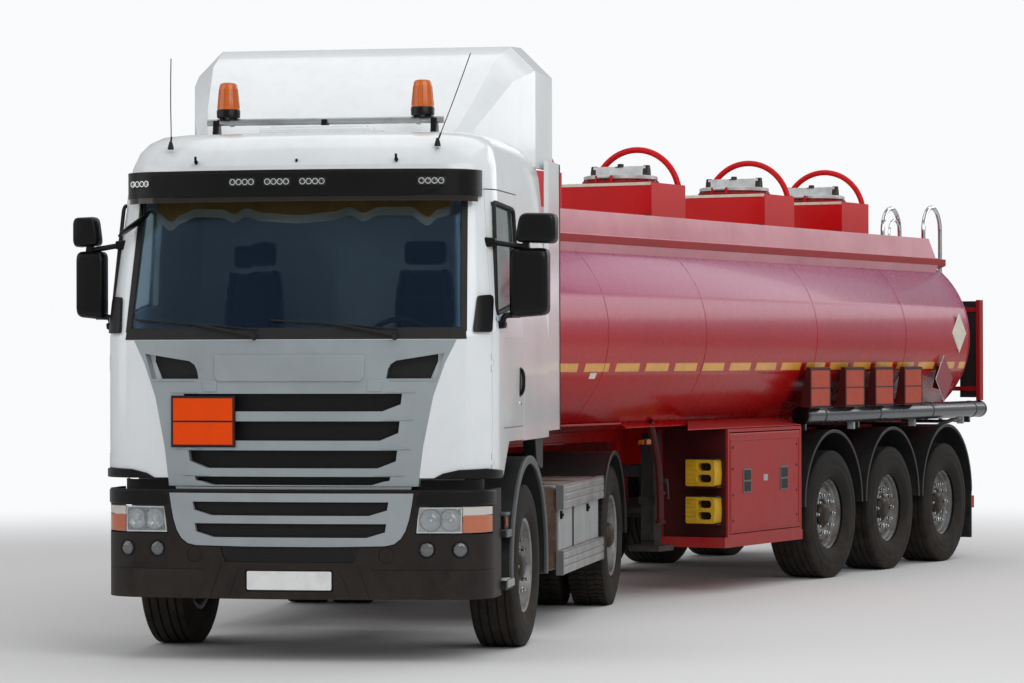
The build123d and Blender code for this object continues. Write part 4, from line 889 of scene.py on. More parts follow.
AXLES_Y = (4.55, 5.86, 7.17)
TWIN_HALF = 0.1725
INNER_TWIN = (0.07, -0.03)  # disc and dish
RIM_SIZES = {
    # half width, place of the disc, end of the hub, dish
    "steer": (0.115, 0.048, 0.13, 0.03), "drive": (0.115, 0.07, 0.142, -0.085),
    "trailer": (0.115, 0.058, 0.135, 0.028),
}
WHEEL_STATIONS = (
    # node prefix, kind, X, Y, radius, place, offsets of its tyres
    ("steer", "steer", 1.058, 1.45, 0.514, TRACTOR, (0.0,)),
    ("drive", "drive", 0.912, 5.15, 0.514, TRACTOR, (-TWIN_HALF, TWIN_HALF)),
) + tuple((f"trailer_{number}", "trailer", 1.043, y, 0.53, TRAILER, (0.0,)) for number, y in enumerate(AXLES_Y, 1))
for prefix, kind, hub_x, hub_y, radius, place, offsets in WHEEL_STATIONS:
    half, disc, hub_end, dish = RIM_SIZES[kind]
    outer = offsets[-1]
    for side, turn in (("left", 0.0), ("right", math.pi)):
        hub = place @ shift(hub_x if side == "left" else -hub_x, hub_y, radius) @ Matrix.Rotation(turn, 4, "Z")
        body = frame["nodes"][f"{prefix}_rim_{side}"]["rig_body"]
        rubber = joined([moved(TYRES[kind].copy(), shift(offset, 0, 0)) for offset in offsets])
        tyre = piece(f"{prefix}_tyre_{side}_look", rubber, body, TYRE_RUBBER, hub, smooth=24)
        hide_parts(f"{prefix}_tyre_{side}")
        steel = [moved(rim_mesh(half, disc, dish), shift(outer, 0, 0))]
        if len(offsets) > 1:
            steel.append(moved(rim_mesh(half, *INNER_TWIN), shift(-outer, 0, 0) @ Matrix.Rotation(math.pi, 4, "Z")))
        rim = piece(f"{prefix}_rim_{side}_look", joined(steel), body, WHEEL_PAINT, hub, smooth=30)
        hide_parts(f"{prefix}_rim_{side}")
        piece(f"{prefix}_hub_{side}", moved(hub_mesh(half + (0.14 if outer else 0), disc, hub_end, dish),
            shift(outer, 0, 0)), body, CAST_STEEL, hub, smooth=30)
        piece(f"{prefix}_studs_{side}", moved(stud_mesh(disc, dish), shift(outer, 0, 0)), body, CHROME, hub,
            smooth=30)
print("wheels", len(WHEEL_STATIONS) * 2)

# %% [markdown]
# Under the windscreen hangs a silver plastic hatch with air slots, two dark inlets and a raised panel, left plain.
# Real slots show black net behind them, not the engine, so a backing and a row of thin bars stand behind the hatch.
# The inlets are cut out of the bevelled copy, and the net bars are one bar repeated and then wrapped to the bow.

# %% Grille hatch
def facing(along, height, wall, out=0.0):
    """Where a piece drawn about the origin, facing -Y, goes on the front."""
    x, y, nx, ny = plan_point(along, *wall(height))
    return shift(x + nx * out, y + ny * out, height) @ Matrix.Rotation(math.atan2(nx, -ny), 4, "Z")


# Outlines of length along the front and height.
INLET = [(0.58, 1.707), (0.59, 1.76), (0.606, 1.792), (0.64, 1.815), (0.93, 1.86), (0.885, 1.707)]
HATCH_BACK = [(-0.74, 1.068), (0.74, 1.068), (0.8, 1.6), (0.93, 1.9), (-0.93, 1.9), (-0.8, 1.6)]
inlet_tool = mirrored(front_plate(INLET, -0.1, 0.05))
low_slot = front_plate([(-0.49, 1.067), (0.49, 1.067), (0.57, 1.091), (-0.57, 1.091)], -0.1, 0.05, step=0.05)
dressed("grille_hatch", SILVER_PLASTIC, 0.005, cut=moved(joined([inlet_tool, low_slot]), TRACTOR))
piece("hatch_foot", front_plate([(-0.728, 1.04), (0.728, 1.04), (0.732, 1.056), (-0.732, 1.056)], -0.03, -0.001),
    "cab", SILVER_PLASTIC, bevel=0.003)
piece("hatch_backing", front_plate(HATCH_BACK, -0.078, -0.07), "cab", NET_AND_SHADE_BLACK)


def net_bars(low, high, half, wall, out, pitch=0.013):
    """Rows of thin bars behind an air opening, wrapped to its wall."""
    bar = sliced(boxes([(-half, half, -0.002, 0.002, 0.0, 0.004)]), 0.15)
    rows = repeated("row", bar, int((high - low) / pitch), NET_AND_SHADE_BLACK, step=(0, 0, pitch))
    rows.transform(shift(0, -out, low))
    return wrap(rows, wall)


piece("hatch_net", net_bars(1.08, 1.62, 0.72, cab_wall, -0.06), "cab", NET_AND_SHADE_BLACK)
NAME_PANEL = [(-0.478, 1.852), (-0.478, 1.716), (-0.452, 1.69), (0.422, 1.69), (0.448, 1.716), (0.448, 1.852)]
piece("name_panel", front_plate(NAME_PANEL, -0.002, 0.009), "cab", SILVER_PLASTIC, bevel=0.005)
SLOT_ENDS = ((1.617, 0.675), (1.451, 0.66), (1.276, 0.645), (1.118, 0.605))  # height, half length
RIDGES = [[(half - 0.1, high + 0.004), (half + 0.085, high + 0.006), (half, high + 0.02)] for high, half in SLOT_ENDS]
ridges = mirrored(joined([front_plate(outline, -0.001, 0.006) for outline in RIDGES]))
piece("hatch_ridges", ridges, "cab", SILVER_PLASTIC, bevel=0.002)
folds = [[(0.47, 1.7), (0.56, 1.7), (0.548, 1.628), (0.462, 1.628)],
    [(0.6, 1.7), (0.88, 1.7), (0.87, 1.692), (0.6, 1.692)]]
piece("hatch_folds", mirrored(joined([front_plate(outline, -0.001, 0.005) for outline in folds])), "cab",
    SILVER_PLASTIC, bevel=0.003)
print("hatch bars and ridges", len(RIDGES))

# %% [markdown]
# The lower grille is a silver frame let into the dark bumper, with two more slots and round lower corners.
# Below it come a net intake, a blank number plate and two fog lamps each side.
# The frame is an outline with its slots cut, wrapped to the bumper, so its edge stays the same width round the bow.

# %% Lower grille and intake
def slot_outline(low, high, half):
    """An air slot with its lower corners cut off."""
    right = [(half, high), (half - 0.008, low + 0.4 * (high - low)), (half - 0.12, low)]
    return right + [(-x, z) for x, z in reversed(right)]


right_side = [(0.755, 1.02), (0.745, 0.95), (0.728, 0.863), (0.706, 0.795), (0.677, 0.748), (0.638, 0.718),
    (0.585, 0.706), (0.245, 0.7)]
LOWER_FRAME = right_side + [(-x, z) for x, z in reversed(right_side)]
INTAKE = [(-0.43, 0.692), (0.43, 0.692), (0.398, 0.606), (-0.398, 0.606)]
GROOVES = ([(0.415, 0.598), (0.42, 0.598), (0.494, 0.392), (0.489, 0.392)],
    [(0.306, 0.566), (0.311, 0.566), (0.376, 0.4), (0.371, 0.4)],
    [(0.5, 0.559), (1.33, 0.559), (1.33, 0.563), (0.5, 0.564)])
pockets = [front_plate([(x * 1.007, 0.867 + (z - 0.867) * 1.035) for x, z in LOWER_FRAME], -0.012, 0.03, bumper_wall),
    front_plate(INTAKE, -0.014, 0.03, bumper_wall),
    front_plate(rounded(-0.27, 0.27, 0.431, 0.561, 0.012), -0.008, 0.03, bumper_wall)]
pockets += [mirrored(front_plate(groove, -0.003, 0.03, bumper_wall)) for groove in GROOVES]
dressed("front_bumper", BUMPER_PLASTIC, 0.004, cut=moved(joined(pockets), TRACTOR))
cap = turned([(0.001, 0.0), (0.001, 0.0405), (0.0025, 0.0455), (0.012, 0.0455), (0.012, 0.0)], axis="Y", steps=48)
tractor_pair("tow_caps", moved(cap, facing(0.592, 0.65, bumper_wall)), BUMPER_PLASTIC)
frame_mesh = front_plate(LOWER_FRAME, -0.028, -0.0005, bumper_wall)
for low, high, half in ((0.886, 0.968, 0.605), (0.755, 0.838, 0.592)):
    frame_mesh = cut_by(frame_mesh, front_plate(slot_outline(low, high, half), -0.2, 0.1, bumper_wall))
piece("lower_grille", frame_mesh, "tractor", SILVER_PLASTIC, bevel=0.006)
piece("lower_net", net_bars(0.745, 0.975, 0.62, bumper_wall, -0.03), "tractor", NET_AND_SHADE_BLACK)
piece("lower_backing", front_plate([(-0.7, 0.72), (0.7, 0.72), (0.72, 1.03), (-0.72, 1.03)], -0.042, -0.036,
    bumper_wall), "tractor", NET_AND_SHADE_BLACK)
piece("intake_net", net_bars(0.61, 0.688, 0.395, bumper_wall, -0.008, 0.011), "tractor", NET_AND_SHADE_BLACK)
piece("intake_panel", front_plate(INTAKE, -0.016, -0.012, bumper_wall), "tractor", NET_AND_SHADE_BLACK)
piece("number_plate_holder", front_plate(rounded(-0.267, 0.267, 0.434, 0.558, 0.01), -0.009, -0.003, bumper_wall),
    "tractor", BLACK_ABS, bevel=0.001)
piece("number_plate", front_plate(rounded(-0.26, 0.26, 0.441, 0.553, 0.008), -0.004, -0.0006, bumper_wall), "tractor",
    WHITE_FILM, bevel=0.0005)
print("pockets cut in the bumper", len(pockets))

# %% [markdown]
# Each headlamp is a clear cover over a silvered tray with two bowls, and beside it a turn signal, amber under white.
# A painted-on lamp looks flat from the side, so the tray is hollow and the bowls are turned dishes with a bulb each.

# %% Headlamps and fog lamps
def bowl(radius, depth):
    """A reflector dish facing -Y, with its bulb."""
    dish = [(0.0, radius), (0.002, radius), (depth * 0.35, radius * 0.88), (depth * 0.75, radius * 0.55),
        (depth, radius * 0.18), (depth, 0.0), (depth + 0.003, 0.0), (depth + 0.003, radius * 0.22),
        (depth * 0.78, radius * 0.6), (depth * 0.35, radius * 0.94), (0.002, radius * 1.06), (0.0, radius * 1.06)]
    return turned(dish, axis="Y", steps=40, loop=True)


def on_front(mesh, along, height, wall=bumper_wall, out=0.0):
    """The mesh in its place on the front."""
    return moved(mesh, facing(along, height, wall, out))


# Outlines of length along the bumper and height, and the middles of the round lamps.
LAMP = [(0.772, 0.783), (1.046, 0.783), (1.046, 0.937), (0.786, 0.937)]
LAMP_IN = [(0.782, 0.792), (1.038, 0.792), (1.038, 0.929), (0.794, 0.929)]
BOWLS_ALONG, BOWLS_Z, FOGS_ALONG, FOGS_Z = (0.858, 0.978), 0.86, (0.835, 1.036), 0.684


def put(name, mesh, material, bevel=0.0):
    """A lamp piece for the side that the loop below is at."""
    return piece(f"{side}_{name}", mesh if side == "left" else flipped(mesh), "tractor", material, bevel=bevel)


for side in ("left", "right"):
    tray = cut_by(front_plate(LAMP, -0.075, -0.004, bumper_wall), front_plate(LAMP_IN, -0.07, 0.02, bumper_wall))
    put("lamp_tray", tray, REFLECTOR)
    put("lamp_bowls", joined([on_front(bowl(0.062, 0.045), along, BOWLS_Z, out=-0.018) for along in BOWLS_ALONG]),
        REFLECTOR)
    bulbs = [on_front(turned([(-0.004, 0.0), (-0.002, 0.01), (0.034, 0.014), (0.036, 0.0)], axis="Y", steps=20),
        along, BOWLS_Z, out=-0.018) for along in BOWLS_ALONG]
    put("lamp_bulbs", joined(bulbs), CHROME)
    put("lamp_bezels", joined([on_front(turned([(0.0, 0.062), (0.0, 0.069), (0.01, 0.07), (0.01, 0.062)], axis="Y",
        steps=40, loop=True), along, BOWLS_Z, out=-0.012) for along in BOWLS_ALONG]), TRIM_GREY)
    lens = put("headlamp_lens", front_plate(LAMP, -0.005, -0.001, bumper_wall), HAZED_LENS, bevel=0.0015)
    put("turn_lens", front_plate(oblong(1.052, 1.3, 0.785, 0.884), -0.018, -0.001, bumper_wall, 0.02), TURN_LENS,
        bevel=0.002)
    put("side_lens", front_plate(oblong(1.052, 1.3, 0.889, 0.937), -0.018, -0.001, bumper_wall, 0.02), MILK_LENS,
        bevel=0.002)
    put("lamp_back", front_plate(oblong(1.05, 1.3, 0.783, 0.939), -0.024, -0.0185, bumper_wall, 0.02), REFLECTOR)
    ribs = repeated("row", boxes([(0.0, 0.0015, 0.0, 0.003, 0.79, 0.88)]), 20, TURN_LENS, step=(0.0115, 0, 0))
    ribs.transform(shift(1.06, 0.016, 0))
    put("turn_lens_ribs", wrap(ribs, bumper_wall), TURN_LENS)
    for number, along in enumerate(FOGS_ALONG):
        put(f"fog_bowl_{number}", on_front(bowl(0.042, 0.03), along, FOGS_Z, out=-0.004), REFLECTOR)
        put(f"fog_ring_{number}", on_front(turned([(-0.002, 0.0415), (-0.003, 0.049), (0.004, 0.052), (0.02, 0.052),
            (0.02, 0.0415)], axis="Y", steps=40, loop=True), along, FOGS_Z, out=0.001), BLACK_ABS)
        put(f"fog_lens_{number}", on_front(turned([(-0.008, 0.0), (-0.007, 0.018), (-0.003, 0.034), (0.001, 0.0415),
            (0.004, 0.0415), (0.0, 0.0)], axis="Y", steps=40), along, FOGS_Z), HAZED_LENS)
    if side == "left":
        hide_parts("headlamps")
print("lamps made for both sides")

# %% [markdown]
# Where the cab ends above the bumper there is a black lip on each corner, a dark gap and the bumper's round shoulder.
# These soften the change from white paint to grained plastic, and each has its own thickness and bevel.

# %% Corner lips and shoulders
LIP = [(0.86, 1.106), (1.4, 1.106), (1.4, 1.15), (1.2, 1.166), (1.02, 1.16), (0.92, 1.138)]
SHOULDER = [(0.772, 0.952), (1.372, 0.952), (1.372, 1.034), (0.8, 1.034), (0.772, 1.01)]
# As the cab tilts, its two pivot brackets pass between these.
GAP_SPANS = ((-1.39, -0.54), (-0.46, 0.46), (0.54, 1.39))
piece("corner_lips", mirrored(front_plate(LIP, -0.004, 0.016, step=0.02)), "cab", BLACK_ABS, bevel=0.006)
tractor_pair("bumper_shoulders", front_plate(SHOULDER, -0.006, 0.007, bumper_wall, 0.02), BLACK_ABS, 0.005)
gap_panels = [front_plate(oblong(low, high, 1.03, 1.095), -0.11, -0.1, cab_wall, 0.05) for low, high in GAP_SPANS]
piece("gap_panel", joined(gap_panels), "tractor", NET_AND_SHADE_BLACK)
print("gap panels", len(GAP_SPANS))

# %% [markdown]
# The windscreen sits in black rubber, and two long wipers rest along its foot.
# A wiper is a cranked arm, a thin bridge and a rubber blade that lies on the glass.

# %% Windscreen seal and wipers
SEAL_FOOT = [(-1.065, 1.944), (1.065, 1.944), (1.058, 2.014), (-1.058, 2.014)]
SEAL_HEAD = [(-1.035, 2.795), (1.035, 2.795), (1.025, 2.87), (-1.025, 2.87)]
SEAL_SIDE = [(1.028, 2.0), (1.066, 1.99), (1.032, 2.868), (0.99, 2.868)]
seal = [front_plate(SEAL_FOOT, -0.01, 0.004), front_plate(SEAL_HEAD, -0.01, 0.003),
    mirrored(front_plate(SEAL_SIDE, -0.01, 0.004, step=0.02))]
piece("windscreen_seal", joined(seal), "cab", RUBBER, bevel=0.003)


def on_glass(along, height, out):
    """A point off the glass."""
    x, y, nx, ny = plan_point(along, *cab_wall(height))
    return (x + nx * out, y + ny * out, height)


def wiper(pivot, tip, height):
    """Arm, bridge and blade of one wiper, from its pivot to its tip."""
    middle = pivot + (tip - pivot) * 0.42
    blade_low, blade_high = on_glass(pivot + 0.02, 2.004, 0.007), on_glass(tip, height, 0.007)
    arm = pipe([on_glass(pivot, 1.962, 0.018), on_glass(pivot - 0.02, 1.975, 0.03), on_glass(middle, 2.028, 0.026)],
        0.008, sides=8)
    end = pipe([on_glass(middle, 2.028, 0.026), on_glass(middle - 0.05, 2.033, 0.018)], 0.005, smooth=False, sides=8)
    bridge = pipe([on_glass(pivot - 0.08, 2.012, 0.012), on_glass(middle, 2.036, 0.019),
        on_glass(tip + 0.1, height - 0.006, 0.012)], 0.0045, sides=8)
    blade = pipe([blade_low, on_glass((pivot + tip) / 2, (2.004 + height) / 2, 0.007), blade_high], 0.006, sides=8)
    boss = on_front(turned([(-0.034, 0.0), (-0.034, 0.014), (-0.024, 0.02), (0.0, 0.024), (0.0, 0.0)], axis="Y",
        steps=24), pivot, 1.962, cab_wall)
    return joined([arm, end, bridge, blade, boss])


WIPERS = ((-0.227, -1.0, 2.066), (0.633, -0.134, 2.061))  # pivot, tip, height of the tip
piece("wipers", joined([wiper(*row) for row in WIPERS]), "cab", RUBBER, smooth=40)
print("wipers", len(WIPERS))

# %% [markdown]
# The visor carries five small light bars with four lenses each, and a smoked strip hangs under its lip.
# The lenses are a row of one turned lens, which keeps them even.

# %% Visor lights
THICK = [(-0.9, 2.95), (0.9, 2.95), (0.9, 2.85), (0.74, 2.806), (-0.74, 2.806), (-0.9, 2.85)]
piece("visor_middle", front_plate(THICK, -0.004, 0.01, visor_wall), "cab", BLACK_ABS, bevel=0.006)
piece("visor_smoke", front_plate(oblong(-1.2, 1.2, 2.775, 2.818), -0.014, -0.008, visor_wall, 0.03), "cab", SMOKED,
    bevel=0.001)
piece("visor_seam", front_plate(oblong(-1.17, 1.17, 2.957, 2.961), -0.001, 0.0015, visor_wall, 0.03), "cab",
    NET_AND_SHADE_BLACK)
light_bars, light_lenses, light_rims = [], [], []
for middle in (-0.985, -0.303, -0.085, 0.132, 0.85):
    out = 0.01 if abs(middle) < 0.9 else 0.0
    case = rounded(middle - 0.085, middle + 0.085, 2.868, 2.92, 0.008)
    light_bars.append(front_plate(case, 0.0, out + 0.004, visor_wall, 0.02))
    lens = turned([(-0.005, 0.0), (-0.004, 0.009), (0.0, 0.0145), (0.004, 0.0145), (0.004, 0.0)], axis="Y", steps=18)
    rim = turned([(-0.003, 0.0145), (-0.003, 0.0185), (0.004, 0.0185), (0.004, 0.0145)], axis="Y", steps=18,
        loop=True)
    for shape, lights, finish in ((lens, light_lenses, CLEAR_LENS), (rim, light_rims, REFLECTOR)):
        lights.append(on_front(moved(repeated("row", shape, 4, finish, step=(0.039, 0, 0)), shift(-0.0585, 0, 0)),
            middle, 2.894, visor_wall, out + 0.005))
piece("light_bar_cases", joined(light_bars), "cab", NET_AND_SHADE_BLACK, bevel=0.002)
piece("light_bar_lenses", joined(light_lenses), "cab", CLEAR_LENS)
piece("light_bar_rims", joined(light_rims), "cab", REFLECTOR)
print("light bars", len(light_bars))

# %% [markdown]
# A pale steel tube crosses the roof on black feet and holds two amber beacons on curved brackets.
# A beacon is a ribbed lens dome on a black base, and it tapers towards the top.
# Two whip aerials, three small hooks and a flat roof hatch finish the roof.

# %% Roof
BAR_Y, BAR_Z = 1.0, 3.32
bar = joined([turned([(-0.76, 0.0), (-0.76, 0.022), (0.76, 0.022), (0.76, 0.0)], (0, BAR_Y, BAR_Z), steps=24)]
    + [turned([(x - 0.012, 0.022), (x - 0.012, 0.029), (x + 0.012, 0.029), (x + 0.012, 0.022)], (0, BAR_Y, BAR_Z),
    steps=24, loop=True) for x in (-0.6, 0.6)])
roof_bar = piece("roof_bar", bar, "cab", ALUMINIUM)
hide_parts("roof_beacons")
feet = [outline_plate([(0.93, 3.205), (1.07, 3.205), (1.04, 3.26), (1.028, BAR_Z + 0.012), (0.972, BAR_Z + 0.012),
    (0.96, 3.26)], x - 0.02, x + 0.02, "YZ") for x in (-0.7, 0.0, 0.7)]
piece("roof_bar_feet", joined(feet), "cab", BLACK_ABS, bevel=0.006)
for side, x in (("left", 0.625), ("right", -0.625)):
    centre = (x, BAR_Y, 0)
    stalk = [pipe([(x + turn * 0.052, BAR_Y, BAR_Z + 0.012), (x + turn * 0.05, BAR_Y, BAR_Z + 0.03),
        (x, BAR_Y, 3.352)], 0.008) for turn in (-1, 1)]
    piece(f"{side}_beacon_stalk", joined(stalk), "cab", CAST_STEEL)
    base = turned([(3.345, 0.0), (3.345, 0.066), (3.352, 0.074), (3.392, 0.075), (3.4, 0.071), (3.4, 0.0)], centre,
        "Z")
    piece(f"{side}_beacon_base", base, "cab", BLACK_ABS)
    dome = turned([(3.399, 0.0), (3.399, 0.07), (3.41, 0.0705), (3.53, 0.059), (3.555, 0.055), (3.566, 0.046),
        (3.57, 0.03), (3.57, 0.0)], centre, "Z", steps=56)
    piece(f"{side}_beacon_dome", dome, "cab", AMBER_LENS)
    fins = []
    for step in range(36):
        turn = 2 * math.pi * step / 36
        fins.append(pipe([(x + 0.0703 * math.cos(turn), BAR_Y + 0.0703 * math.sin(turn), 3.41),
            (x + 0.059 * math.cos(turn), BAR_Y + 0.059 * math.sin(turn), 3.53)], 0.0016, smooth=False, sides=4))
    piece(f"{side}_beacon_ribs", joined(fins), "cab", AMBER_LENS)
whips, bases = [], []
for x, lean in ((-0.855, -0.05), (0.823, 0.17)):
    bases.append(turned([(3.12, 0.0), (3.12, 0.02), (3.14, 0.017), (3.17, 0.008), (3.172, 0.0)], (x, 0.47, 0), "Z",
        24))
    whips.append(pipe([(x, 0.47, 3.15), (x + lean * 0.08, 0.5, 3.2), (x + lean * 0.6, 0.57, 3.46),
        (x + lean, 0.66, 3.7)], 0.0032, sides=8))
    bases.append(pipe([(x, 0.47, 3.15), (x + lean * 0.08, 0.5, 3.2)], 0.006, smooth=False, sides=8))
piece("aerial_bases", joined(bases), "cab", RUBBER)
piece("aerial_whips", joined(whips), "cab", CAST_STEEL)
hooks = [joined([turned([(0.375, 0.0), (0.375, 0.012), (0.395, 0.01), (0.41, 0.004), (0.41, 0.0)], (x, 0, z), "Y",
    16), pipe([(x, 0.385, z - 0.012), (x, 0.36, z + 0.012), (x + 0.004, 0.352, z + 0.03)], 0.008)])
    for x, z in ((-0.67, 3.036), (-0.034, 3.016), (0.585, 3.04))]
piece("roof_hooks", joined(hooks), "cab", BLACK_ABS)
piece("roof_hatch", boxes([(-0.36, 0.36, 0.74, 1.13, 3.225, 3.262), (-0.3, 0.3, 0.79, 1.08, 3.255, 3.28)]), "cab",
    WHITE_ENAMEL, bevel=0.01)
print("roof pieces done")

# %% [markdown]
# The mirrors hang on bent arms from each door: a tall main head, and a wide-angle head over it.
# Their backs are domed black shells, and the glass faces the driver.
# A shell is lofted through scaled copies of one outline, because a plain extrusion would look like a box.

# %% Mirrors
def lofted(sections):
    """A closed skin through outlines with as many points each."""
    bm = bmesh.new()
    rings = [[bm.verts.new(point) for point in section] for section in sections]
    for first, second in zip(rings, rings[1:]):
        for step in range(len(first)):
            after = (step + 1) % len(first)
            bm.faces.new((first[step], first[after], second[after], second[step]))
    bm.faces.new(rings[0])
    bm.faces.new(rings[-1])
    return mesh_of(bm)


def softened(points, radius, steps=4):
    """The outline with each corner rounded by a curve."""
    made = []
    for before, corner, after in zip(points[-1:] + points[:-1], points, points[1:] + points[:1]):
        corner_at = Vector(corner)
        starts = [corner_at + (Vector(other) - corner_at).normalized() * min(radius,
            (Vector(other) - corner_at).length / 2) for other in (before, after)]
        for step in range(steps + 1):
            t = step / steps
            made.append(tuple(starts[0] * (1 - t) ** 2 + corner_at * 2 * t * (1 - t) + starts[1] * t ** 2))
    return made


def domed(outline, depths):
    """A shell over an outline of X and Z, through rows of Y and scale."""
    middle = (sum(x for x, z in outline) / len(outline), sum(z for x, z in outline) / len(outline))
    return lofted([[(middle[0] + (x - middle[0]) * scale, y, middle[1] + (z - middle[1]) * scale) for x, z in outline]
        for y, scale in depths])


# Outlines of X and Z for the two heads, and rows of Y and scale for a shell.
MAIN_HEAD = softened([(0.0, 0.425), (0.24, 0.425), (0.24, 0.02), (0.0, 0.0)], 0.045)
UPPER_HEAD = softened([(0.035, 0.19), (0.26, 0.185), (0.26, 0.0), (0.0, 0.01)], 0.045)
SHELL = ((0.4, 0.78), (0.403, 0.86), (0.412, 0.93), (0.43, 0.98), (0.455, 1.0), (0.512, 1.0), (0.518, 0.985),
    (0.519, 0.93), (0.513, 0.92))
for side, main_width, upper_width in (("left", 0.24, 0.26), ("right", 0.18, 0.17)):
    door = frame["nodes"][f"{side}_mirror"]["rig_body"]
    main = [(1.27 + x * main_width / 0.24, 2.07 + z) for x, z in MAIN_HEAD]
    upper = [(1.3 + x * upper_width / 0.26, 2.52 + z) for x, z in UPPER_HEAD]
    neck = [(1.345, 2.48), (1.395, 2.48), (1.385, 2.545), (1.352, 2.545)]
    shells = [domed(main, SHELL), domed(upper, SHELL), domed(softened(neck, 0.01),
        ((0.435, 0.9), (0.44, 1.0), (0.485, 1.0)))]
    seams = [domed(outline, ((0.454, 1.0008), (0.4575, 1.0008))) for outline in (main, upper)]
    glass = [domed(outline, ((0.5125, 0.915), (0.5165, 0.915))) for outline in (main, upper)]
    arms = [pipe([(1.14, 0.425, 2.532), (1.2, 0.43, 2.526), (1.3, 0.45, 2.51), (1.372, 0.462, 2.502)], 0.017,
        sides=16), pipe([(1.33, 0.462, 2.09), (1.262, 0.455, 2.09), (1.232, 0.445, 2.082), (1.226, 0.44, 2.035)],
        0.019, sides=16), domed(softened([(1.195, 2.005), (1.248, 2.01), (1.252, 2.05), (1.195, 2.056)], 0.012),
        ((0.398, 0.8), (0.405, 1.0), (0.47, 1.0), (0.478, 0.85))), domed(softened([(1.12, 2.5), (1.19, 2.505),
        (1.19, 2.556), (1.12, 2.562)], 0.012), ((0.395, 0.8), (0.402, 1.0), (0.462, 1.0), (0.47, 0.85)))]
    for name, meshes, material, smooth in (("mirror_shells", shells, BLACK_ABS, 40),
            ("mirror_seams", seams, NET_AND_SHADE_BLACK, 30), ("mirror_glass", glass, CHROME, 30),
            ("mirror_arms", arms, BLACK_ABS, 40)):
        mesh = joined(meshes)
        made = piece(f"{side}_{name}", mesh if side == "left" else flipped(mesh), door, material, smooth=smooth)
        if name == "mirror_shells":
            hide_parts(f"{side}_mirror")
blade = []
for x, z, wide in ((-0.94, 2.722, 0.3), (-0.955, 2.708, 0.8), (-1.01, 2.668, 1.0), (-1.08, 2.62, 0.95),
        (-1.118, 2.596, 0.7), (-1.135, 2.585, 0.25)):
    blade.append([(x + 0.012 * math.sin(a) * wide, 0.285 + 0.06 * math.cos(a) * wide, z + 0.026 * math.sin(a) * wide)
        for a in (2 * math.pi * step / 20 for step in range(20))])
kerb = [lofted(blade), pipe([(-1.0, 0.3, 2.69), (-0.99, 0.3, 2.74), (-1.0, 0.32, 2.79)], 0.012)]
piece("kerb_mirror", joined(kerb), "cab", BLACK_ABS, smooth=50)
QUARTER = [(1.1, 1.985), (1.23, 1.985), (1.235, 2.19), (1.215, 2.212), (1.12, 2.205)]
piece("pillar_feet", mirrored(front_plate(softened(QUARTER, 0.02), -0.004, 0.022, step=0.02)), "cab", BLACK_ABS,
    bevel=0.006)
print("mirrors made")

# %% [markdown]
# Each door has a rubber seal round its window, a pale moulding along the sill and an upright handle in a recess.
# The door's wall leans in above the sill, so these are drawn flat in Y and Z and then set on that wall.

# %% Doors
def on_side(mesh):
    """Sets a mesh drawn about X = 0 on the cab's left wall."""
    for vert in mesh.vertices:
        vert.co.x += cab_wall(vert.co.z)[1]
    return mesh


def side_plate(outline, low, high, step=0.06):
    """A plate on the cab's left wall over an outline of Y and Z."""
    return on_side(sliced(outline_plate(outline, low, high, "YZ"), step, axis=2))


# Outlines of Y and Z.
WINDOW = [(0.38, 2.09), (1.19, 2.17), (1.19, 2.76), (0.505, 2.78)]
SILL = [(0.35, 2.052), (1.215, 2.134), (1.215, 2.16), (0.36, 2.082)]
GRIP = softened([(1.112, 1.585), (1.178, 1.59), (1.19, 1.768), (1.128, 1.772)], 0.022)
for side in ("left", "right"):
    seal = on_side(pipe([(-0.006, y, z) for y, z in softened(WINDOW, 0.05)], 0.013, smooth=False, sides=8,
        closed=True))
    sill = side_plate(SILL, -0.001, 0.007)
    recess = side_plate(GRIP, -0.001, 0.004)
    bar = on_side(pipe([(0.004, 1.142, 1.6), (0.02, 1.146, 1.62), (0.022, 1.152, 1.68), (0.02, 1.156, 1.738),
        (0.004, 1.16, 1.758)], 0.011, sides=12))
    lock = on_side(moved(turned([(0.0, 0.0), (0.0, 0.013), (0.005, 0.012), (0.006, 0.0)], axis="X", steps=20),
        shift(0, 1.15, 1.545)))
    crease = side_plate(oblong(0.56, 1.24, 1.4, 1.405), -0.001, 0.0015)
    for name, mesh, material, bevel in (("window_seal", seal, RUBBER, 0.0), ("sill_moulding", sill, SILL_FILM, 0.002),
            ("handle_recess", recess, BLACK_ABS, 0.002), ("handle_bar", bar, BLACK_ABS, 0.0),
            ("door_lock", lock, CHROME, 0.0), ("door_crease", crease, TRIM_GREY, 0.0)):
        piece(f"{side}_{name}", mesh if side == "left" else flipped(mesh), f"{side}_door", material, bevel=bevel)
edge = boxes([(1.18, 1.22, 2.716, 2.728, 1.352, 3.128)])
piece("deflector_edges", mirrored(edge), "cab", RUBBER, bevel=0.004)
skirts = outline_plate(softened([(1.96, 1.306), (2.262, 1.306), (2.262, 1.13), (2.24, 1.1), (2.02, 1.15)], 0.02),
    1.09, 1.175, "YZ")
tractor_pair("cab_skirts", skirts, MUDGUARD_PLASTIC, 0.006)
print("doors dressed")

# %% [markdown]
# The front mudguard is dark grey with a pale edge, and ahead of it come the two entry steps and a marker lamp.
# Step treads are pressed aluminium with raised ribs, so a row of small ribs is laid on each.

# %% Front mudguards and steps
def arc_band(centre, outer, inner, start, sweep, low, high, steps=48):
    """A flat ring sector in the YZ plane, given a thickness along X."""
    rim = [math.radians(start + sweep * step / steps) for step in range(steps + 1)]
    points = [(centre[0] + outer * math.cos(a), centre[1] + outer * math.sin(a)) for a in rim]
    points += [(centre[0] + inner * math.cos(a), centre[1] + inner * math.sin(a)) for a in reversed(rim)]
    return outline_plate(points, low, high, "YZ")


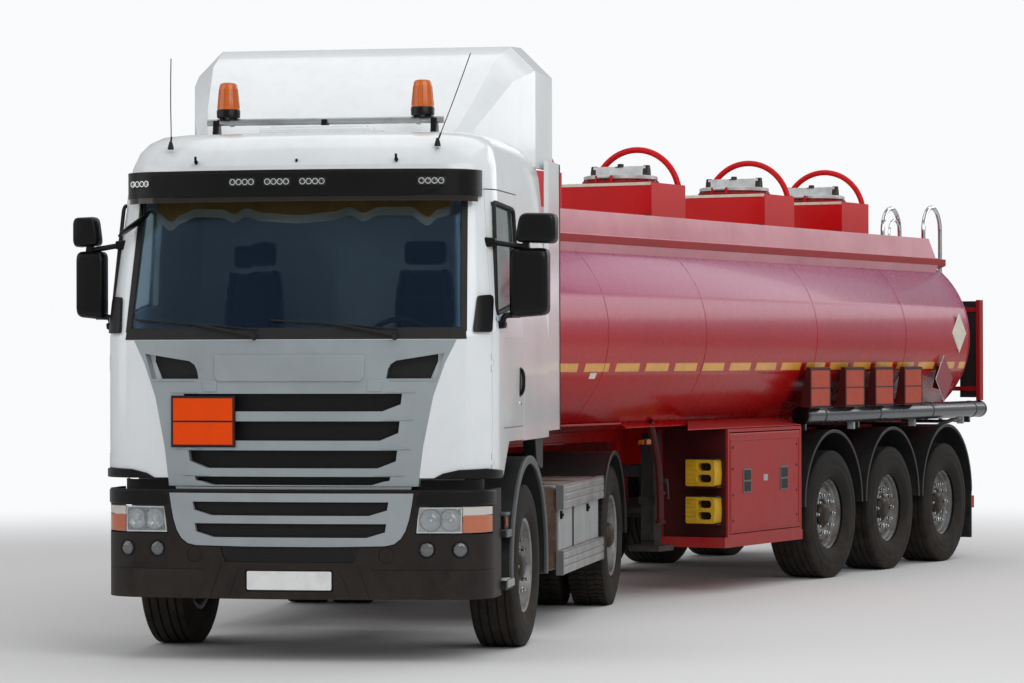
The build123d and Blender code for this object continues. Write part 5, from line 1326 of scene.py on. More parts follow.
trim = arc_band((1.45, 0.514), 0.696, 0.644, -8, 196, 1.205, 1.229)
tractor_pair("front_arch_trim", trim, ARCH_GREY, 0.006)
step_plates = boxes([(0.93, 1.234, 0.566, 0.784, 0.4705, 0.476), (1.226, 1.24, 0.566, 0.784, 0.43, 0.476)])
ribs = repeated("row", boxes([(0.96, 1.22, 0.578, 0.584, 0.475, 0.4795)]), 9, ALUMINIUM, step=(0, 0.0235, 0))
tractor_pair("lower_steps", joined([step_plates, ribs]), ALUMINIUM, 0.002)
upper = boxes([(0.93, 1.232, 0.566, 0.7, 0.7755, 0.781), (1.222, 1.236, 0.562, 0.7, 0.735, 0.781)])
tractor_pair("upper_steps", upper, TRIM_GREY, 0.003)
marker = boxes([(1.12, 1.216, 0.575, 0.7, 0.783, 0.868)])
tractor_pair("marker_cases", marker, BLACK_ABS, 0.006)
lid = boxes([(1.11, 1.226, 0.566, 0.712, 0.866, 0.886)])
tractor_pair("marker_lids", lid, ARCH_GREY, 0.006)
lens = boxes([(1.214, 1.222, 0.6, 0.64, 0.8, 0.85), (1.15, 1.19, 0.57, 0.577, 0.8, 0.85)])
tractor_pair("marker_lenses", lens, AMBER_LENS, 0.003)
drive_edge = arc_band((5.15, 0.514), 0.629, 0.596, -1, 152, 1.222, 1.243)
tractor_pair("drive_arch_trim", drive_edge, MUDGUARD_PLASTIC, 0.005)
print("mudguard trims and steps")

# %% [markdown]
# The fuel tank and the battery box sit behind two ribbed aluminium rails. Their fronts are brown with old road salt.
# A rail is an extrusion, so it is one ribbed section swept straight, and the panels behind it are pressed steel.

# %% Side boxes
def rail_section(low):
    """A ribbed rail's outline of X and Z, from its lower edge up."""
    points = [(1.194, low - 0.002), (1.232, low - 0.002), (1.238, low + 0.004)]
    for number in range(3):
        base = low + 0.012 + number * 0.048
        points += [(1.238, base), (1.241, base + 0.003), (1.241, base + 0.031), (1.238, base + 0.034),
            (1.234, base + 0.037), (1.234, base + 0.044)]
    return points + [(1.238, low + 0.154), (1.232, low + 0.158), (1.194, low + 0.158)]


rails = [outline_plate(rail_section(low), 2.7, 4.575) for low in (0.374, 0.816)]
piece("guard_rails", mirrored(joined(rails)), "tractor", ALUMINIUM, smooth=25, bevel=0.0008)
caps = boxes([(1.19, 1.243, y, y + 0.012, low - 0.004, low + 0.16) for y in (2.694, 4.57) for low in (0.374, 0.816)])
tractor_pair("rail_caps", caps, TRIM_GREY, 0.003)
panels = boxes([(1.196, 1.206, low, high, 0.534, 0.812) for low, high in ((2.745, 3.005), (3.02, 3.3), (3.42, 3.93),
    (3.945, 4.535))])
tractor_pair("box_panels", panels, PANEL_GREY, 0.006)
gaps = boxes([(1.1965, 1.2015, 3.3, 3.42, 0.534, 0.812)])
tractor_pair("box_gap", gaps, NET_AND_SHADE_BLACK)
latches = joined([boxes([(1.205, 1.222, y - 0.018, y + 0.018, 0.745, 0.8)]) for y in (2.79, 3.975)]
    + [turned([(1.222, 0.0), (1.222, 0.012), (1.23, 0.011), (1.231, 0.0)], (0, y, 0.772), steps=16)
    for y in (2.79, 3.975)])
tractor_pair("box_latches", latches, BLACK_ABS, 0.003)
fronts = domed(softened(oblong(0.66, 1.19, 0.41, 0.96), 0.05), ((2.715, 0.97), (2.7185, 1.0), (2.724, 1.0)))
tractor_pair("box_fronts", fronts, RUSTED_STEEL)
straps = [pipe([(0.66, y, 0.6), (0.652, y, 0.93), (0.7, y, 0.974), (1.1, y, 0.974), (1.17, y, 0.962)], 0.008, sides=8)
    for y in (2.95, 3.62, 4.3)]
tractor_pair("box_straps", joined(straps), RUSTED_STEEL)
cap = turned([(0.968, 0.0), (0.968, 0.055), (0.985, 0.058), (1.0, 0.055), (1.004, 0.04), (1.004, 0.0)],
    (0.95, 3.2, 0), "Z", 32)
hoses = [pipe([(0.7, 2.8, 0.955), (0.8, 2.76, 1.02), (0.95, 2.8, 1.0), (1.08, 2.86, 0.966)], 0.016),
    pipe([(0.66, 2.9, 0.96), (0.78, 2.95, 1.01), (0.92, 3.0, 0.992), (1.02, 3.1, 0.966)], 0.014)]
piece("filler_cap", cap, "tractor", BLACK_ABS)
tractor_pair("box_hoses", joined(hoses), RUBBER)
print("side boxes dressed")

# %% [markdown]
# Two sprung seats and a bunk show through the glass. Foam under cloth swells between its edges, so a block won't do.
# A slightly smaller block is remeshed into small faces and blown up with the cloth solver, which is how the crown
# and the pinched corners come about. Sewn channels are pressed in afterwards, because a remesh would wipe them out.

# %% Seats and bunk
def swollen(size, voxel, limit, frames=20):
    """A pad about the origin, blown up from a smaller block."""
    x, y, z = (side / 2 for side in size)
    pad = linked("pad", boxes([(-x, x, -y, y, -z, z)]))
    soft = pad.modifiers.new("soft", "BEVEL")
    soft.width = min(size) * 0.28
    soft.segments = 4
    grid = pad.modifiers.new("grid", "REMESH")
    grid.mode = "VOXEL"
    grid.voxel_size = voxel * 1
    mesh = plain_mesh(pad)
    before = [vert.co.copy() for vert in mesh.vertices]
    pad = linked("pad", mesh)
    cloth = pad.modifiers.new("cloth", "CLOTH")
    cloth.settings.use_pressure = True
    cloth.settings.uniform_pressure_force = 4
    cloth.settings.effector_weights.gravity = 0
    cloth.settings.quality = 4
    for number in range(1, frames + 1):
        bpy.context.scene.frame_set(number)
    made = bpy.data.meshes.new_from_object(pad.evaluated_get(bpy.context.evaluated_depsgraph_get()))
    bpy.data.objects.remove(pad)
    for vert, start in zip(made.vertices, before):
        step = vert.co - start
        if step.length > limit:
            vert.co = start + step.normalized() * limit
    bpy.context.scene.frame_set(1)
    return made


def channel(mesh, axis, places, depth=0.008, width=0.009):
    """Presses sewn channels into a pad, at places along an axis."""
    for vert in mesh.vertices:
        for place in places:
            away = (vert.co[axis] - place) / width
            vert.co -= vert.normal * depth * math.exp(-away * away)
    return mesh


cushion = channel(swollen((0.47, 0.46, 0.105), 0.007, 0.024), 0, (-0.135, 0.135))
back = channel(channel(swollen((0.43, 0.095, 0.59), 0.007, 0.022), 0, (-0.125, 0.125)), 2, (-0.09, 0.1))
for vert in back.vertices:
    vert.co.x *= 1 - 0.3 * max(0.0, (vert.co.z - 0.02) / 0.3) ** 2
headrest = swollen((0.27, 0.085, 0.15), 0.007, 0.018)
mattress = channel(swollen((2.08, 0.6, 0.075), 0.016, 0.016), 0, (-0.7, -0.35, 0.0, 0.35, 0.7), 0.006, 0.02)
first = None
for side, x in (("left", 0.56), ("right", -0.56)):
    for name, mesh, place in (("cushion", cushion, shift(x, 1.175, 1.755)),
            ("back", back, shift(x, 1.4, 2.115) @ Matrix.Rotation(math.radians(-4), 4, "X")),
            ("headrest", headrest, shift(x, 1.425, 2.5))):
        pad = piece(f"{side}_seat_{name}", moved(mesh.copy(), place), "cab", SEAT_CLOTH, smooth=60)
        rounder = pad.modifiers.new("soft", "SUBSURF")
        rounder.levels = rounder.render_levels = 1
        first = first or pad
    base = boxes([(x - 0.15, x + 0.15, 1.0, 1.38, 1.403, 1.44), (x - 0.11, x + 0.11, 1.04, 1.34, 1.43, 1.66),
        (x - 0.21, x + 0.21, 0.96, 1.4, 1.65, 1.7)])
    piece(f"{side}_seat_base", base, "cab", DASH_PLASTIC, bevel=0.012)
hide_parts("seats_and_bunk")
bed = piece("bunk_mattress", moved(mattress, shift(0, 1.865, 1.905)), "cab", SEAT_CLOTH, smooth=60)
rounder = bed.modifiers.new("soft", "SUBSURF")
rounder.levels = rounder.render_levels = 1
piece("bunk_base", boxes([(-1.08, 1.08, 1.56, 2.19, 1.403, 1.85)]), "cab", DASH_PLASTIC, bevel=0.015)
print("seats and bunk made")

# %% [markdown]
# Behind the head of the windscreen hangs a short valance of golden velour with a beige fringe, cut in swags.
# It is one cloth sheet, a little wavy, that follows the glass. Its cut is flat, so its width and area are known.
# The fringe is thread, one row of short strands along the hem.

# %% Valance
# Length along the glass, height of the hem.
SWAGS = [(-0.93, 2.72), (-0.82, 2.655), (-0.76, 2.7), (-0.66, 2.735), (-0.5, 2.73), (-0.41, 2.7), (-0.34, 2.735),
    (-0.22, 2.705), (0.0, 2.69), (0.2, 2.705), (0.32, 2.735), (0.4, 2.7), (0.5, 2.735), (0.68, 2.735), (0.8, 2.672),
    (0.86, 2.72), (0.93, 2.735)]


def hem_height(along):
    """The cut of the valance's lower edge."""
    for (x0, z0), (x1, z1) in zip(SWAGS, SWAGS[1:]):
        if along <= x1:
            share = (along - x0) / (x1 - x0)
            return z0 + (z1 - z0) * (3 * share ** 2 - 2 * share ** 3)
    return SWAGS[-1][1]


def cloth_place(along, height):
    """A point on the hanging cloth, behind the glass."""
    x, y, nx, ny = plan_point(along, *cab_wall(height))
    wave = 0.004 * math.sin(along * 46) * min(1.0, (2.84 - height) / 0.12)
    return Vector((x - nx * (0.04 + wave), y - ny * (0.04 + wave), height))


COLUMNS, ROWS, HEAD = 160, 10, 2.845
bm = bmesh.new()
grid = []
for column in range(COLUMNS + 1):
    along = -0.93 + 1.86 * column / COLUMNS
    low = hem_height(along)
    grid.append([bm.verts.new(cloth_place(along, HEAD + (low - HEAD) * row / ROWS)) for row in range(ROWS + 1)])
for first_line, second_line in zip(grid, grid[1:]):
    for row in range(ROWS):
        bm.faces.new((first_line[row], second_line[row], second_line[row + 1], first_line[row + 1]))
area = sum(face.calc_area() for face in bm.faces)
valance = piece("valance", mesh_of(bm), "cab", VELOUR, smooth=60)
strands = []
for number in range(372):
    along = -0.928 + 0.005 * number
    low = hem_height(along)
    top, tip = cloth_place(along, low + 0.004), cloth_place(along, low - 0.042)
    for point in (top, tip):
        point.y -= 0.003
    strands.append(pipe([top, (top + tip) / 2 + Vector((0.0012 * math.sin(number * 1.7), 0, 0)), tip], 0.0019,
        smooth=False, sides=4))
fringe = piece("valance_fringe", joined(strands), "cab", FRINGE)
braid_line = [cloth_place(-0.93 + 1.86 * step / 120, hem_height(-0.93 + 1.86 * step / 120) + 0.006)
    + Vector((0, -0.004, 0)) for step in range(121)]
braid = piece("valance_braid", pipe(braid_line, 0.0045, smooth=False, sides=6), "cab", FRINGE)
print("valance area", round(area, 4))

# %% [markdown]
# The tank's side is part of a large circle, so anything stuck on it has to follow that curve.
# A place on it is a distance along the tank, a height and a stand-off, and one function gives the point.
# A broken yellow stripe of reflective tape runs the whole length, and its dashes are a row of one wrapped dash.

# %% Stripe on the tank
def circle_of(first, second, third):
    """Centre and radius of the circle through three points."""
    (ax, ay), (bx, by), (cx, cy) = first, second, third
    d = 2 * (ax * (by - cy) + bx * (cy - ay) + cx * (ay - by))
    sums = [p[0] ** 2 + p[1] ** 2 for p in (first, second, third)]
    x = (sums[0] * (by - cy) + sums[1] * (cy - ay) + sums[2] * (ay - by)) / d
    y = (sums[0] * (cx - bx) + sums[1] * (ax - cx) + sums[2] * (bx - ax)) / d
    return x, y, math.hypot(ax - x, ay - y)


SIDE_X, SIDE_Z, SIDE_R = circle_of((0.94, 2.64), (1.25, 1.95), (0.88, 1.34))


def on_tank(mesh):
    """Sets a mesh drawn about X = 0 on the tank's left side, with X as its stand-off."""
    for vert in mesh.vertices:
        turn = math.asin((vert.co.z - SIDE_Z) / SIDE_R)
        out = SIDE_R + vert.co.x
        vert.co.x, vert.co.z = SIDE_X + out * math.cos(turn), SIDE_Z + out * math.sin(turn)
    return mesh


def tank_plate(outline, low, high, step=0.02):
    """A plate on the tank's left side over an outline of Y and Z."""
    return on_tank(sliced(outline_plate(outline, low, high, "YZ"), step, axis=2))


dash = tank_plate([(-0.47, 1.73), (-0.075, 1.73), (-0.085, 1.79), (-0.47, 1.79)], 0.0002, 0.0012)
stripe = joined([repeated("row", dash, 16, YELLOW_FILM, step=(0, 0.5, 0)),
    tank_plate(oblong(7.53, 7.69, 1.73, 1.79), 0.0002, 0.0012)])
trailer_pair("yellow_stripe", stripe, YELLOW_FILM)
trailer_pair("stripe_tag", tank_plate(oblong(0.15, 0.25, 1.68, 1.722), 0.0002, 0.0014), PALE_TAG)


def tank_ring(y, radius):
    """A weld bead round the tank, from gutter to belly, on both sides."""
    points = []
    for step in range(25):
        z = 2.6 - (2.6 - 1.345) * step / 24
        turn = math.asin((z - SIDE_Z) / SIDE_R)
        points.append((SIDE_X + SIDE_R * math.cos(turn), y, z))
    return pipe(points, radius, smooth=False, sides=6)


welds = joined([tank_ring(y, 0.0035) for y in (0.34, 2.02, 4.18, 6.15)]
    + [tank_ring(7.7, 0.006), tank_ring(-0.87, 0.006)])
trailer_pair("tank_welds", welds, RED_ENAMEL)
skirt = joined([outline_plate([(0.862, 1.336), (0.905, 1.33), (0.908, 1.346), (0.868, 1.352)], -0.86, 1.23),
    outline_plate([(0.862, 1.336), (0.945, 1.3), (0.95, 1.308), (0.88, 1.352)], 1.23, 7.6)])
trailer_pair("tank_skirts", skirt, RED_ENAMEL, 0.002)
gutter = joined([boxes([(1.006, 1.018, -0.9, 7.55, 2.672, 2.728)]),
    outline_plate([(0.95, 2.64), (1.014, 2.668), (1.014, 2.726), (0.93, 2.735)], 7.55, 7.74)])
trailer_pair("gutter_strips", gutter, DEEP_RED, 0.003)
print("stripe and seams, side circle", round(SIDE_X, 3), round(SIDE_Z, 3), round(SIDE_R, 3))

# %% [markdown]
# Near the rear, four orange hazard plates stand off the tank on red holders. Their faces are plain.
# Each has a black border and a black line across its middle.
# Two diamond plates follow, red and white, with a white edge.

# %% Hazard plates
def framed_plate(low_y, low_z, wide, high, x):
    """An orange plate facing sideways, and its black border with a line across the middle."""
    edge, line = 0.01, x + 0.003
    spans = ((0, wide, 0, edge), (0, wide, high - edge, high), (0, edge, 0, high), (wide - edge, wide, 0, high),
        (0, wide, (high - edge) / 2, (high + edge) / 2))
    lines = [(line, line + 0.0012, low_y + a, low_y + b, low_z + c, low_z + d) for a, b, c, d in spans]
    return boxes([(x, line, low_y, low_y + wide, low_z, low_z + high)]), boxes(lines)


faces, lines, holders = [], [], []
for y in (3.93, 4.67, 5.33, 6.0):
    face, line = framed_plate(y, 1.425, 0.4, 0.31, 1.296)
    faces.append(face)
    lines.append(line)
    holders.append(outline_plate([(1.205, 1.425), (1.294, 1.42), (1.294, 1.748), (1.258, 1.752)],
        y - 0.012, y + 0.412))
    holders.append(boxes([(1.0, 1.215, y + arm, y + arm + 0.03, 1.44, 1.465) for arm in (0.05, 0.32)]))
    holders.append(boxes([(1.286, 1.296, y - 0.012, y + 0.412, 1.415, 1.425),
        (1.286, 1.3, y - 0.012, y - 0.002, 1.415, 1.745), (1.286, 1.3, y + 0.402, y + 0.412, 1.415, 1.745)]))
trailer_pair("orange_plates", joined(faces), OLD_ORANGE)
trailer_pair("orange_plate_lines", joined(lines), NET_AND_SHADE_BLACK)
# The holders' dark red is painted shade, as their sides stand in shadow.
trailer_pair("plate_holders", joined(holders), SHADED_RED, 0.003)


def diamond(y, z, half, x):
    """A square plate on its corner, facing sideways."""
    return outline_plate([(y - half, z), (y, z - half), (y + half, z), (y, z + half)], x, x + 0.004, "YZ")


red_holder = outline_plate([(1.18, 1.56), (1.258, 1.54), (1.258, 1.74), (1.225, 1.76)], 6.96, 7.12)
# This holder's dark red is painted shade too.
trailer_pair("diamond_holders", red_holder, SHADED_RED, 0.003)
trailer_pair("red_diamonds", diamond(7.04, 1.64, 0.2, 1.262), RED_FILM)
trailer_pair("diamond_borders", joined([diamond(7.04, 1.64, 0.208, 1.2585), diamond(7.45, 2.05, 0.178, 1.2485)]),
    WHITE_FILM)
trailer_pair("white_diamonds", diamond(7.45, 2.05, 0.168, 1.252), PALE_TAG)
standoffs = boxes([(1.15, 1.249, 7.43, 7.47, 2.1, 2.13), (1.15, 1.249, 7.43, 7.47, 1.96, 1.99)])
trailer_pair("diamond_standoffs", standoffs, RED_ENAMEL)
grille_face = front_plate(oblong(-0.749, -0.349, 1.3, 1.6), 0.012, 0.016)
edges = [oblong(-0.749, -0.349, 1.3, 1.31), oblong(-0.749, -0.349, 1.59, 1.6), oblong(-0.749, -0.349, 1.445, 1.455),
    oblong(-0.749, -0.739, 1.3, 1.6), oblong(-0.359, -0.349, 1.3, 1.6)]
piece("front_orange_plate", grille_face, "cab", ORANGE_FILM)
piece("front_plate_lines", joined([front_plate(outline, 0.0155, 0.0172) for outline in edges]), "cab", NET_AND_SHADE_BLACK)
piece("front_plate_back", front_plate(oblong(-0.755, -0.343, 1.294, 1.606), 0.004, 0.0125), "cab", BLACK_ABS,
    bevel=0.002)
print("hazard plates", len(faces) * 2 + 1)

# %% [markdown]
# Along the top stand four manhole boxes. Each has a bolted flange, a lid with a clamp bridge and two small vents.
# A walkway of ribbed plates joins them, and a vapour line runs beside it with a branch to each box.

# %% Manholes and walkway
MANHOLES_Y = (0.88, 3.07, 5.29, 6.995)
VAPOUR_X, VAPOUR_Z = -0.64, 2.85
bolt = turned([(0, 0), (0, 0.011), (0.01, 0.011), (0.012, 0.009), (0.012, 0)], axis="Z", steps=6)
flange = turned([(-0.022, 0.27), (-0.022, 0.312), (0.0, 0.312), (0.0, 0.27)], axis="Z", steps=64, loop=True)
flange_bolts = repeated("ring", bolt, 20, CAST_STEEL, radius=0.296)
rivets = repeated("row", turned([(0, 0), (0, 0.007), (0.004, 0.004), (0.005, 0)], axis="Z", steps=8), 12, CAST_STEEL,
    step=(0.07, 0, 0))
flanges, bolts, fittings, strips = [], [], [], []
for number, y in enumerate(MANHOLES_Y, start=1):
    flanges.append(moved(flange.copy(), shift(0, y, 3.254)))
    bolts.append(moved(flange_bolts.copy(), shift(0, y, 3.252)))
    front = y - 0.315
    bolts += [moved(rivets.copy(), shift(-0.385, place, 3.23)) for place in (front + 0.014, y + 0.3)]
    strips.append(boxes([(-0.425, 0.425, front - 0.004, front + 0.001, 3.208, 3.232)]))
    fittings.append(turned([(front - 0.062, 0.0), (front - 0.062, 0.022), (front - 0.05, 0.03), (front - 0.032, 0.03),
        (front - 0.03, 0.042), (front, 0.045), (front, 0.0)], (0.392, 0, 2.93), "Y", 24))
    fittings.append(pipe([(0.392, front - 0.03, 2.93), (0.43, front - 0.045, 2.945), (0.45, front - 0.02, 2.905),
        (0.452, front + 0.02, 2.85)], 0.012))
    lid = []
    for end in (-0.235, 0.235):
        lid.append(outline_plate([(y - 0.036, 3.292), (y + 0.036, 3.292), (y + 0.03, 3.345), (y + 0.016, 3.386),
            (y - 0.016, 3.386), (y - 0.03, 3.345)], end - 0.022, end + 0.022, "YZ"))
    lid.append(moved(bolt.copy(), shift(0, y, 3.378) @ Matrix.Diagonal((2.4, 2.4, 2.0, 1))))
    lid.append(turned([(3.372, 0.0), (3.372, 0.045), (3.38, 0.045), (3.38, 0.0)], (0, y, 0), "Z", 24))
    piece(f"lid_{number}_clamps", joined(lid), f"manhole_lid_{number}", CAST_STEEL, TRAILER, bevel=0.002)
    tops = joined([turned([(3.294, 0.286), (3.299, 0.286), (3.302, 0.28), (3.299, 0.27), (3.294, 0.27)], (0, y, 0),
        "Z", 64, True)] + [turned([(3.29, 0.0), (3.29, 0.036), (3.318, 0.034), (3.33, 0.04), (3.338, 0.03),
        (3.338, 0.0)], (x, y + 0.15, 0), "Z", 24) for x in (-0.13, 0.13)])
    piece(f"lid_{number}_fittings", tops, f"manhole_lid_{number}", LID_ALUMINIUM, TRAILER)
piece("neck_flanges", joined(flanges), "trailer", DEEP_RED, TRAILER, bevel=0.002)
piece("box_bolts", joined(bolts), "trailer", CAST_STEEL, TRAILER)
piece("box_fittings", joined(fittings), "trailer", CAST_STEEL, TRAILER)
piece("box_strips", joined(strips), "trailer", PALE_TAG, TRAILER, bevel=0.001)
spans = ((-0.86, 0.56), (1.2, 2.75), (3.39, 4.97), (5.61, 6.675))
decks = boxes([(-0.34, 0.34, low, high, 2.812, 2.82) for low, high in spans]
    + [(x, x + 0.006, low, high, 2.76, 2.822) for low, high in spans for x in (-0.345, 0.339)])
treads = joined([repeated("row", boxes([(-0.31, 0.31, low + 0.02, low + 0.026, 2.819, 2.824)]),
    int((high - low - 0.04) / 0.04), ALUMINIUM, step=(0, 0.04, 0)) for low, high in spans])
piece("walkway", joined([decks, treads]), "trailer", ALUMINIUM, TRAILER, bevel=0.0015)
vapour = [pipe([(VAPOUR_X, -0.7, VAPOUR_Z), (VAPOUR_X, 7.25, VAPOUR_Z)], 0.038, smooth=False, sides=20)]
vapour += [pipe([(VAPOUR_X, y, VAPOUR_Z), (-0.56, y, 2.87), (-0.425, y, 2.9)], 0.03, sides=16) for y in MANHOLES_Y]
vapour += [pipe([(VAPOUR_X, y, VAPOUR_Z), (VAPOUR_X, y, 2.74)], 0.014, smooth=False, sides=8)
    for y in (-0.5, 2.0, 4.2, 6.2)]
piece("vapour_line", joined(vapour), "trailer", ALUMINIUM, TRAILER)
print("manhole boxes dressed")

# %% [markdown]
# The access ladder and its hand hoops are polished steel tube, so the CAD copy's square bars are cut away there
# and round tube goes in their place, on the same centres.

# %% Ladder
ladder_room = outline_plate([(7.985, 0.4), (8.1, 0.4), (8.1, 3.4), (7.56, 3.4), (7.56, 2.78), (7.985, 2.78)], 0.4,
    0.9, "YZ")
dressed("trailer_frame", RED_ENAMEL, 0.003, cut=moved(ladder_room, TRAILER))
LADDER_Y, LADDER_X = 8.02, (0.45, 0.85)


def hoop(x, y, z, radius, step):
    """The top half of a circle about a place, from the back to the front."""
    return [(x, y + radius * math.cos(math.radians(a)), z + radius * math.sin(math.radians(a)))
        for a in range(0, 181, step)]


stiles = []
for x in LADDER_X:
    stiles.append(pipe([(x, LADDER_Y, 0.48), (x, LADDER_Y, 2.98), *hoop(x, 7.81, 3.0, 0.21, 12), (x, 7.6, 2.96),
        (x, 7.6, 2.64)], 0.02, smooth=False, sides=16))
    stiles.append(pipe([(x, 7.94, 1.95), (x, LADDER_Y, 1.95)], 0.016, smooth=False))
    stiles.append(pipe([(x, 7.9, 0.51), (x, LADDER_Y, 0.51)], 0.018, smooth=False))
rungs = [pipe([(x, LADDER_Y, 0.655 + 0.29 * number) for x in LADDER_X], 0.0135, smooth=False) for number in range(8)]
low_hoop = hoop(LADDER_X[0], 7.89, 2.975, 0.13, 15)
stiles.append(pipe([(LADDER_X[0], LADDER_Y, 2.8), *low_hoop, (LADDER_X[0], 7.76, 2.7)], 0.012, smooth=False,
    sides=12))
rungs.append(pipe([(x, 7.6, 2.82) for x in LADDER_X], 0.0135, smooth=False))
piece("ladder", joined(stiles + rungs), "trailer", CHROME, TRAILER)
print("ladder rungs", len(rungs))

# %% [markdown]
# The valve cabinet's door closes flush, with two paddle latches and a folded edge.
# Two yellow wheel chocks stand on small shelves at its front. A chock is a wedge with two hand holes.

# %% Valve cabinet
LATCHES_Y, CHOCKS_Z = (2.763, 3.486), (0.834, 0.545)
door_rows = [(1.2495, 1.2535, 2.455, 3.79, 1.18, 1.192), (1.2495, 1.2535, 2.455, 3.79, 0.48, 0.492),
    (1.2495, 1.2535, 2.455, 2.467, 0.48, 1.192), (1.2495, 1.2535, 3.778, 3.79, 0.48, 1.192)]
piece("cabinet_door_frame", boxes(door_rows), "cabinet_door", CABINET_RED, TRAILER, bevel=0.0015)
case = boxes([(1.249, 1.256, y - 0.075, y + 0.075, 0.77, 0.96) for y in LATCHES_Y])
piece("latch_frames", case, "cabinet_door", TRIM_GREY, TRAILER, bevel=0.003)
paddles = boxes([(1.255, x, y - 0.06, y + 0.06, low, low + 0.076) for y in LATCHES_Y
    for x, low in ((1.26, 0.872), (1.259, 0.782))])
piece("latch_paddles", paddles, "cabinet_door", NET_AND_SHADE_BLACK, TRAILER, bevel=0.004)
piece("cabinet_tag", boxes([(1.249, 1.252, 3.085, 3.165, 0.855, 0.905)]), "cabinet_door", ALUMINIUM, TRAILER,
    bevel=0.001)
screws = joined([turned([(1.25, 0.0), (1.25, 0.011), (1.254, 0.01), (1.256, 0.0)], (0, y, z), steps=12)
    for y in (2.5, 3.745) for z in (0.56, 0.76, 0.965, 1.13)])
piece("cabinet_screws", screws, "cabinet_door", CAST_STEEL, TRAILER)


def chock(low_z):
    """A yellow wheel chock at the cabinet's front, wide side out, with two hand holes."""
    body = outline_plate(softened([(0.947, low_z), (1.195, low_z), (1.203, low_z + 0.105), (1.195, low_z + 0.21),
        (0.947, low_z + 0.21)], 0.018), 2.27, 2.4)
    holes = joined([outline_plate(softened(oblong(1.05, 1.165, low_z + a, low_z + b), 0.028), 2.2, 2.36)
        for a, b in ((0.03, 0.09), (0.12, 0.18))])
    return cut_by(body, holes)


chocks = joined([chock(z) for z in CHOCKS_Z])
piece("wheel_chocks", chocks, "trailer", YELLOW_PLASTIC, TRAILER, bevel=0.005)
ribs = boxes([(0.96, 1.04, 2.264, 2.272, z + rise, z + rise + 0.008) for z in CHOCKS_Z
    for rise in (0.02, 0.055, 0.09, 0.125, 0.16, 0.185)])
piece("chock_ribs", ribs, "trailer", YELLOW_PLASTIC, TRAILER, bevel=0.002)
# Dark plates inside the hand holes are painted shade; the thin dark strips along each chock's top are its bracket.
depths = boxes([(1.046, 1.169, 2.34, 2.35, z + 0.026, z + 0.184) for z in CHOCKS_Z]
    + [(0.936, 1.212, 2.266, 2.404, z + 0.208, z + 0.214) for z in CHOCKS_Z])
piece("chock_holes", depths, "trailer", NET_AND_SHADE_BLACK, TRAILER)
shelf = boxes([(0.93, 1.215, 2.29, 2.404, z - 0.012, z - 0.002) for z in CHOCKS_Z]
    + [(0.7, 1.236, 2.394, 2.404, 0.436, 1.268)])
# The shelves' dark red is painted shade.
piece("chock_shelf", shelf, "trailer", SHADED_RED, TRAILER, bevel=0.002)
cover = outline_plate([(1.238, 1.7), (1.238, 3.86), (0.93, 3.86), (0.93, 2.35)], 1.279, 1.287, "XY")
for vert in cover.vertices:
    vert.co.z += (1.238 - vert.co.x) * 0.17
trailer_pair("cabinet_cover", cover, CABINET_RED, 0.002)
print("cabinet dressed")

# %% [markdown]
# Hose tubes, mudguards, lamps and the rear bar finish the trailer.
# The tubes are PVC with clamped bands and screwed caps, and each mudguard has a rolled edge that catches the light.

# %% Trailer fittings
TUBE, LAMPS_Y = (1.1625, 0, 1.355), (5.205, 6.515)
bands = [turned([(y - 0.018, 0.07), (y - 0.018, 0.0775), (y + 0.018, 0.0775), (y + 0.018, 0.07)], TUBE, "Y", 48, True)
    for y in (4.4, 5.6, 6.85, 7.93)]
caps = [turned([(end, 0.0), (end, 0.06), (end + turn * 0.004, 0.0775), (end + turn * 0.052, 0.0775),
    (end + turn * 0.052, 0.0)], TUBE, "Y", 48) for end, turn in ((4.024, 1), (8.2015, -1))]
struts = [boxes([(1.13, 1.19, y, y + 0.03, 1.225, 1.29)]) for y in (5.1, 6.5, 7.7)]
struts.append(outline_plate([(0.56, 1.06), (0.6, 1.06), (1.18, 1.27), (1.18, 1.295), (1.14, 1.295)], 7.64, 7.69))
trailer_pair("tube_bands", joined(bands), NET_AND_SHADE_BLACK)
trailer_pair("tube_caps", joined(caps), BLACK_ABS, 0.002)
trailer_pair("tube_struts", joined(struts), PANEL_GREY, 0.003)
rims = [arc_band((y, 0.61), 0.6225, inner, 0, 180, low, high) for y in AXLES_Y
    for inner, low, high in ((0.596, 1.228, 1.2445), (0.6, 0.848, 0.856))]
trailer_pair("trailer_arch_edges", joined(rims), MUDGUARD_PLASTIC, 0.004)
flaps = boxes([(0.862, 1.228, 7.788, 7.794, 0.19, 0.6)])
trailer_pair("mudflaps", flaps, RUBBER, 0.002)
cases = boxes([(1.09, 1.13, y - 0.03, y + 0.03, 1.02, 1.06) for y in LAMPS_Y]
    + [(0.86, 0.93, 1.6, 1.7, 1.165, 1.215)])
lamps = joined([turned([(1.13, 0.0), (1.13, 0.026), (1.146, 0.022), (1.15, 0.0)], (0, y, 1.04), steps=20)
    for y in LAMPS_Y])
trailer_pair("side_lamp_cases", cases, BLACK_ABS, 0.003)
trailer_pair("side_lamps", lamps, RED_LENS)
amber = boxes([(0.928, 0.938, 1.612, 1.688, 1.172, 1.208), (0.872, 0.922, 1.592, 1.601, 1.172, 1.208)])
trailer_pair("front_side_lamps", amber, AMBER_LENS, 0.003)
down_pipe = pipe([(0.905, 1.72, 1.345), (0.905, 1.76, 1.28), (0.905, 1.83, 1.12), (0.905, 1.9, 0.9),
    (0.905, 1.905, 0.56)], 0.032, sides=16)
collars = joined([turned([(z, 0.0), (z, 0.042), (z + 0.024, 0.042), (z + 0.024, 0.0)], (0.905, 1.905, 0), "Z", 24)
    for z in (0.56, 0.78)])
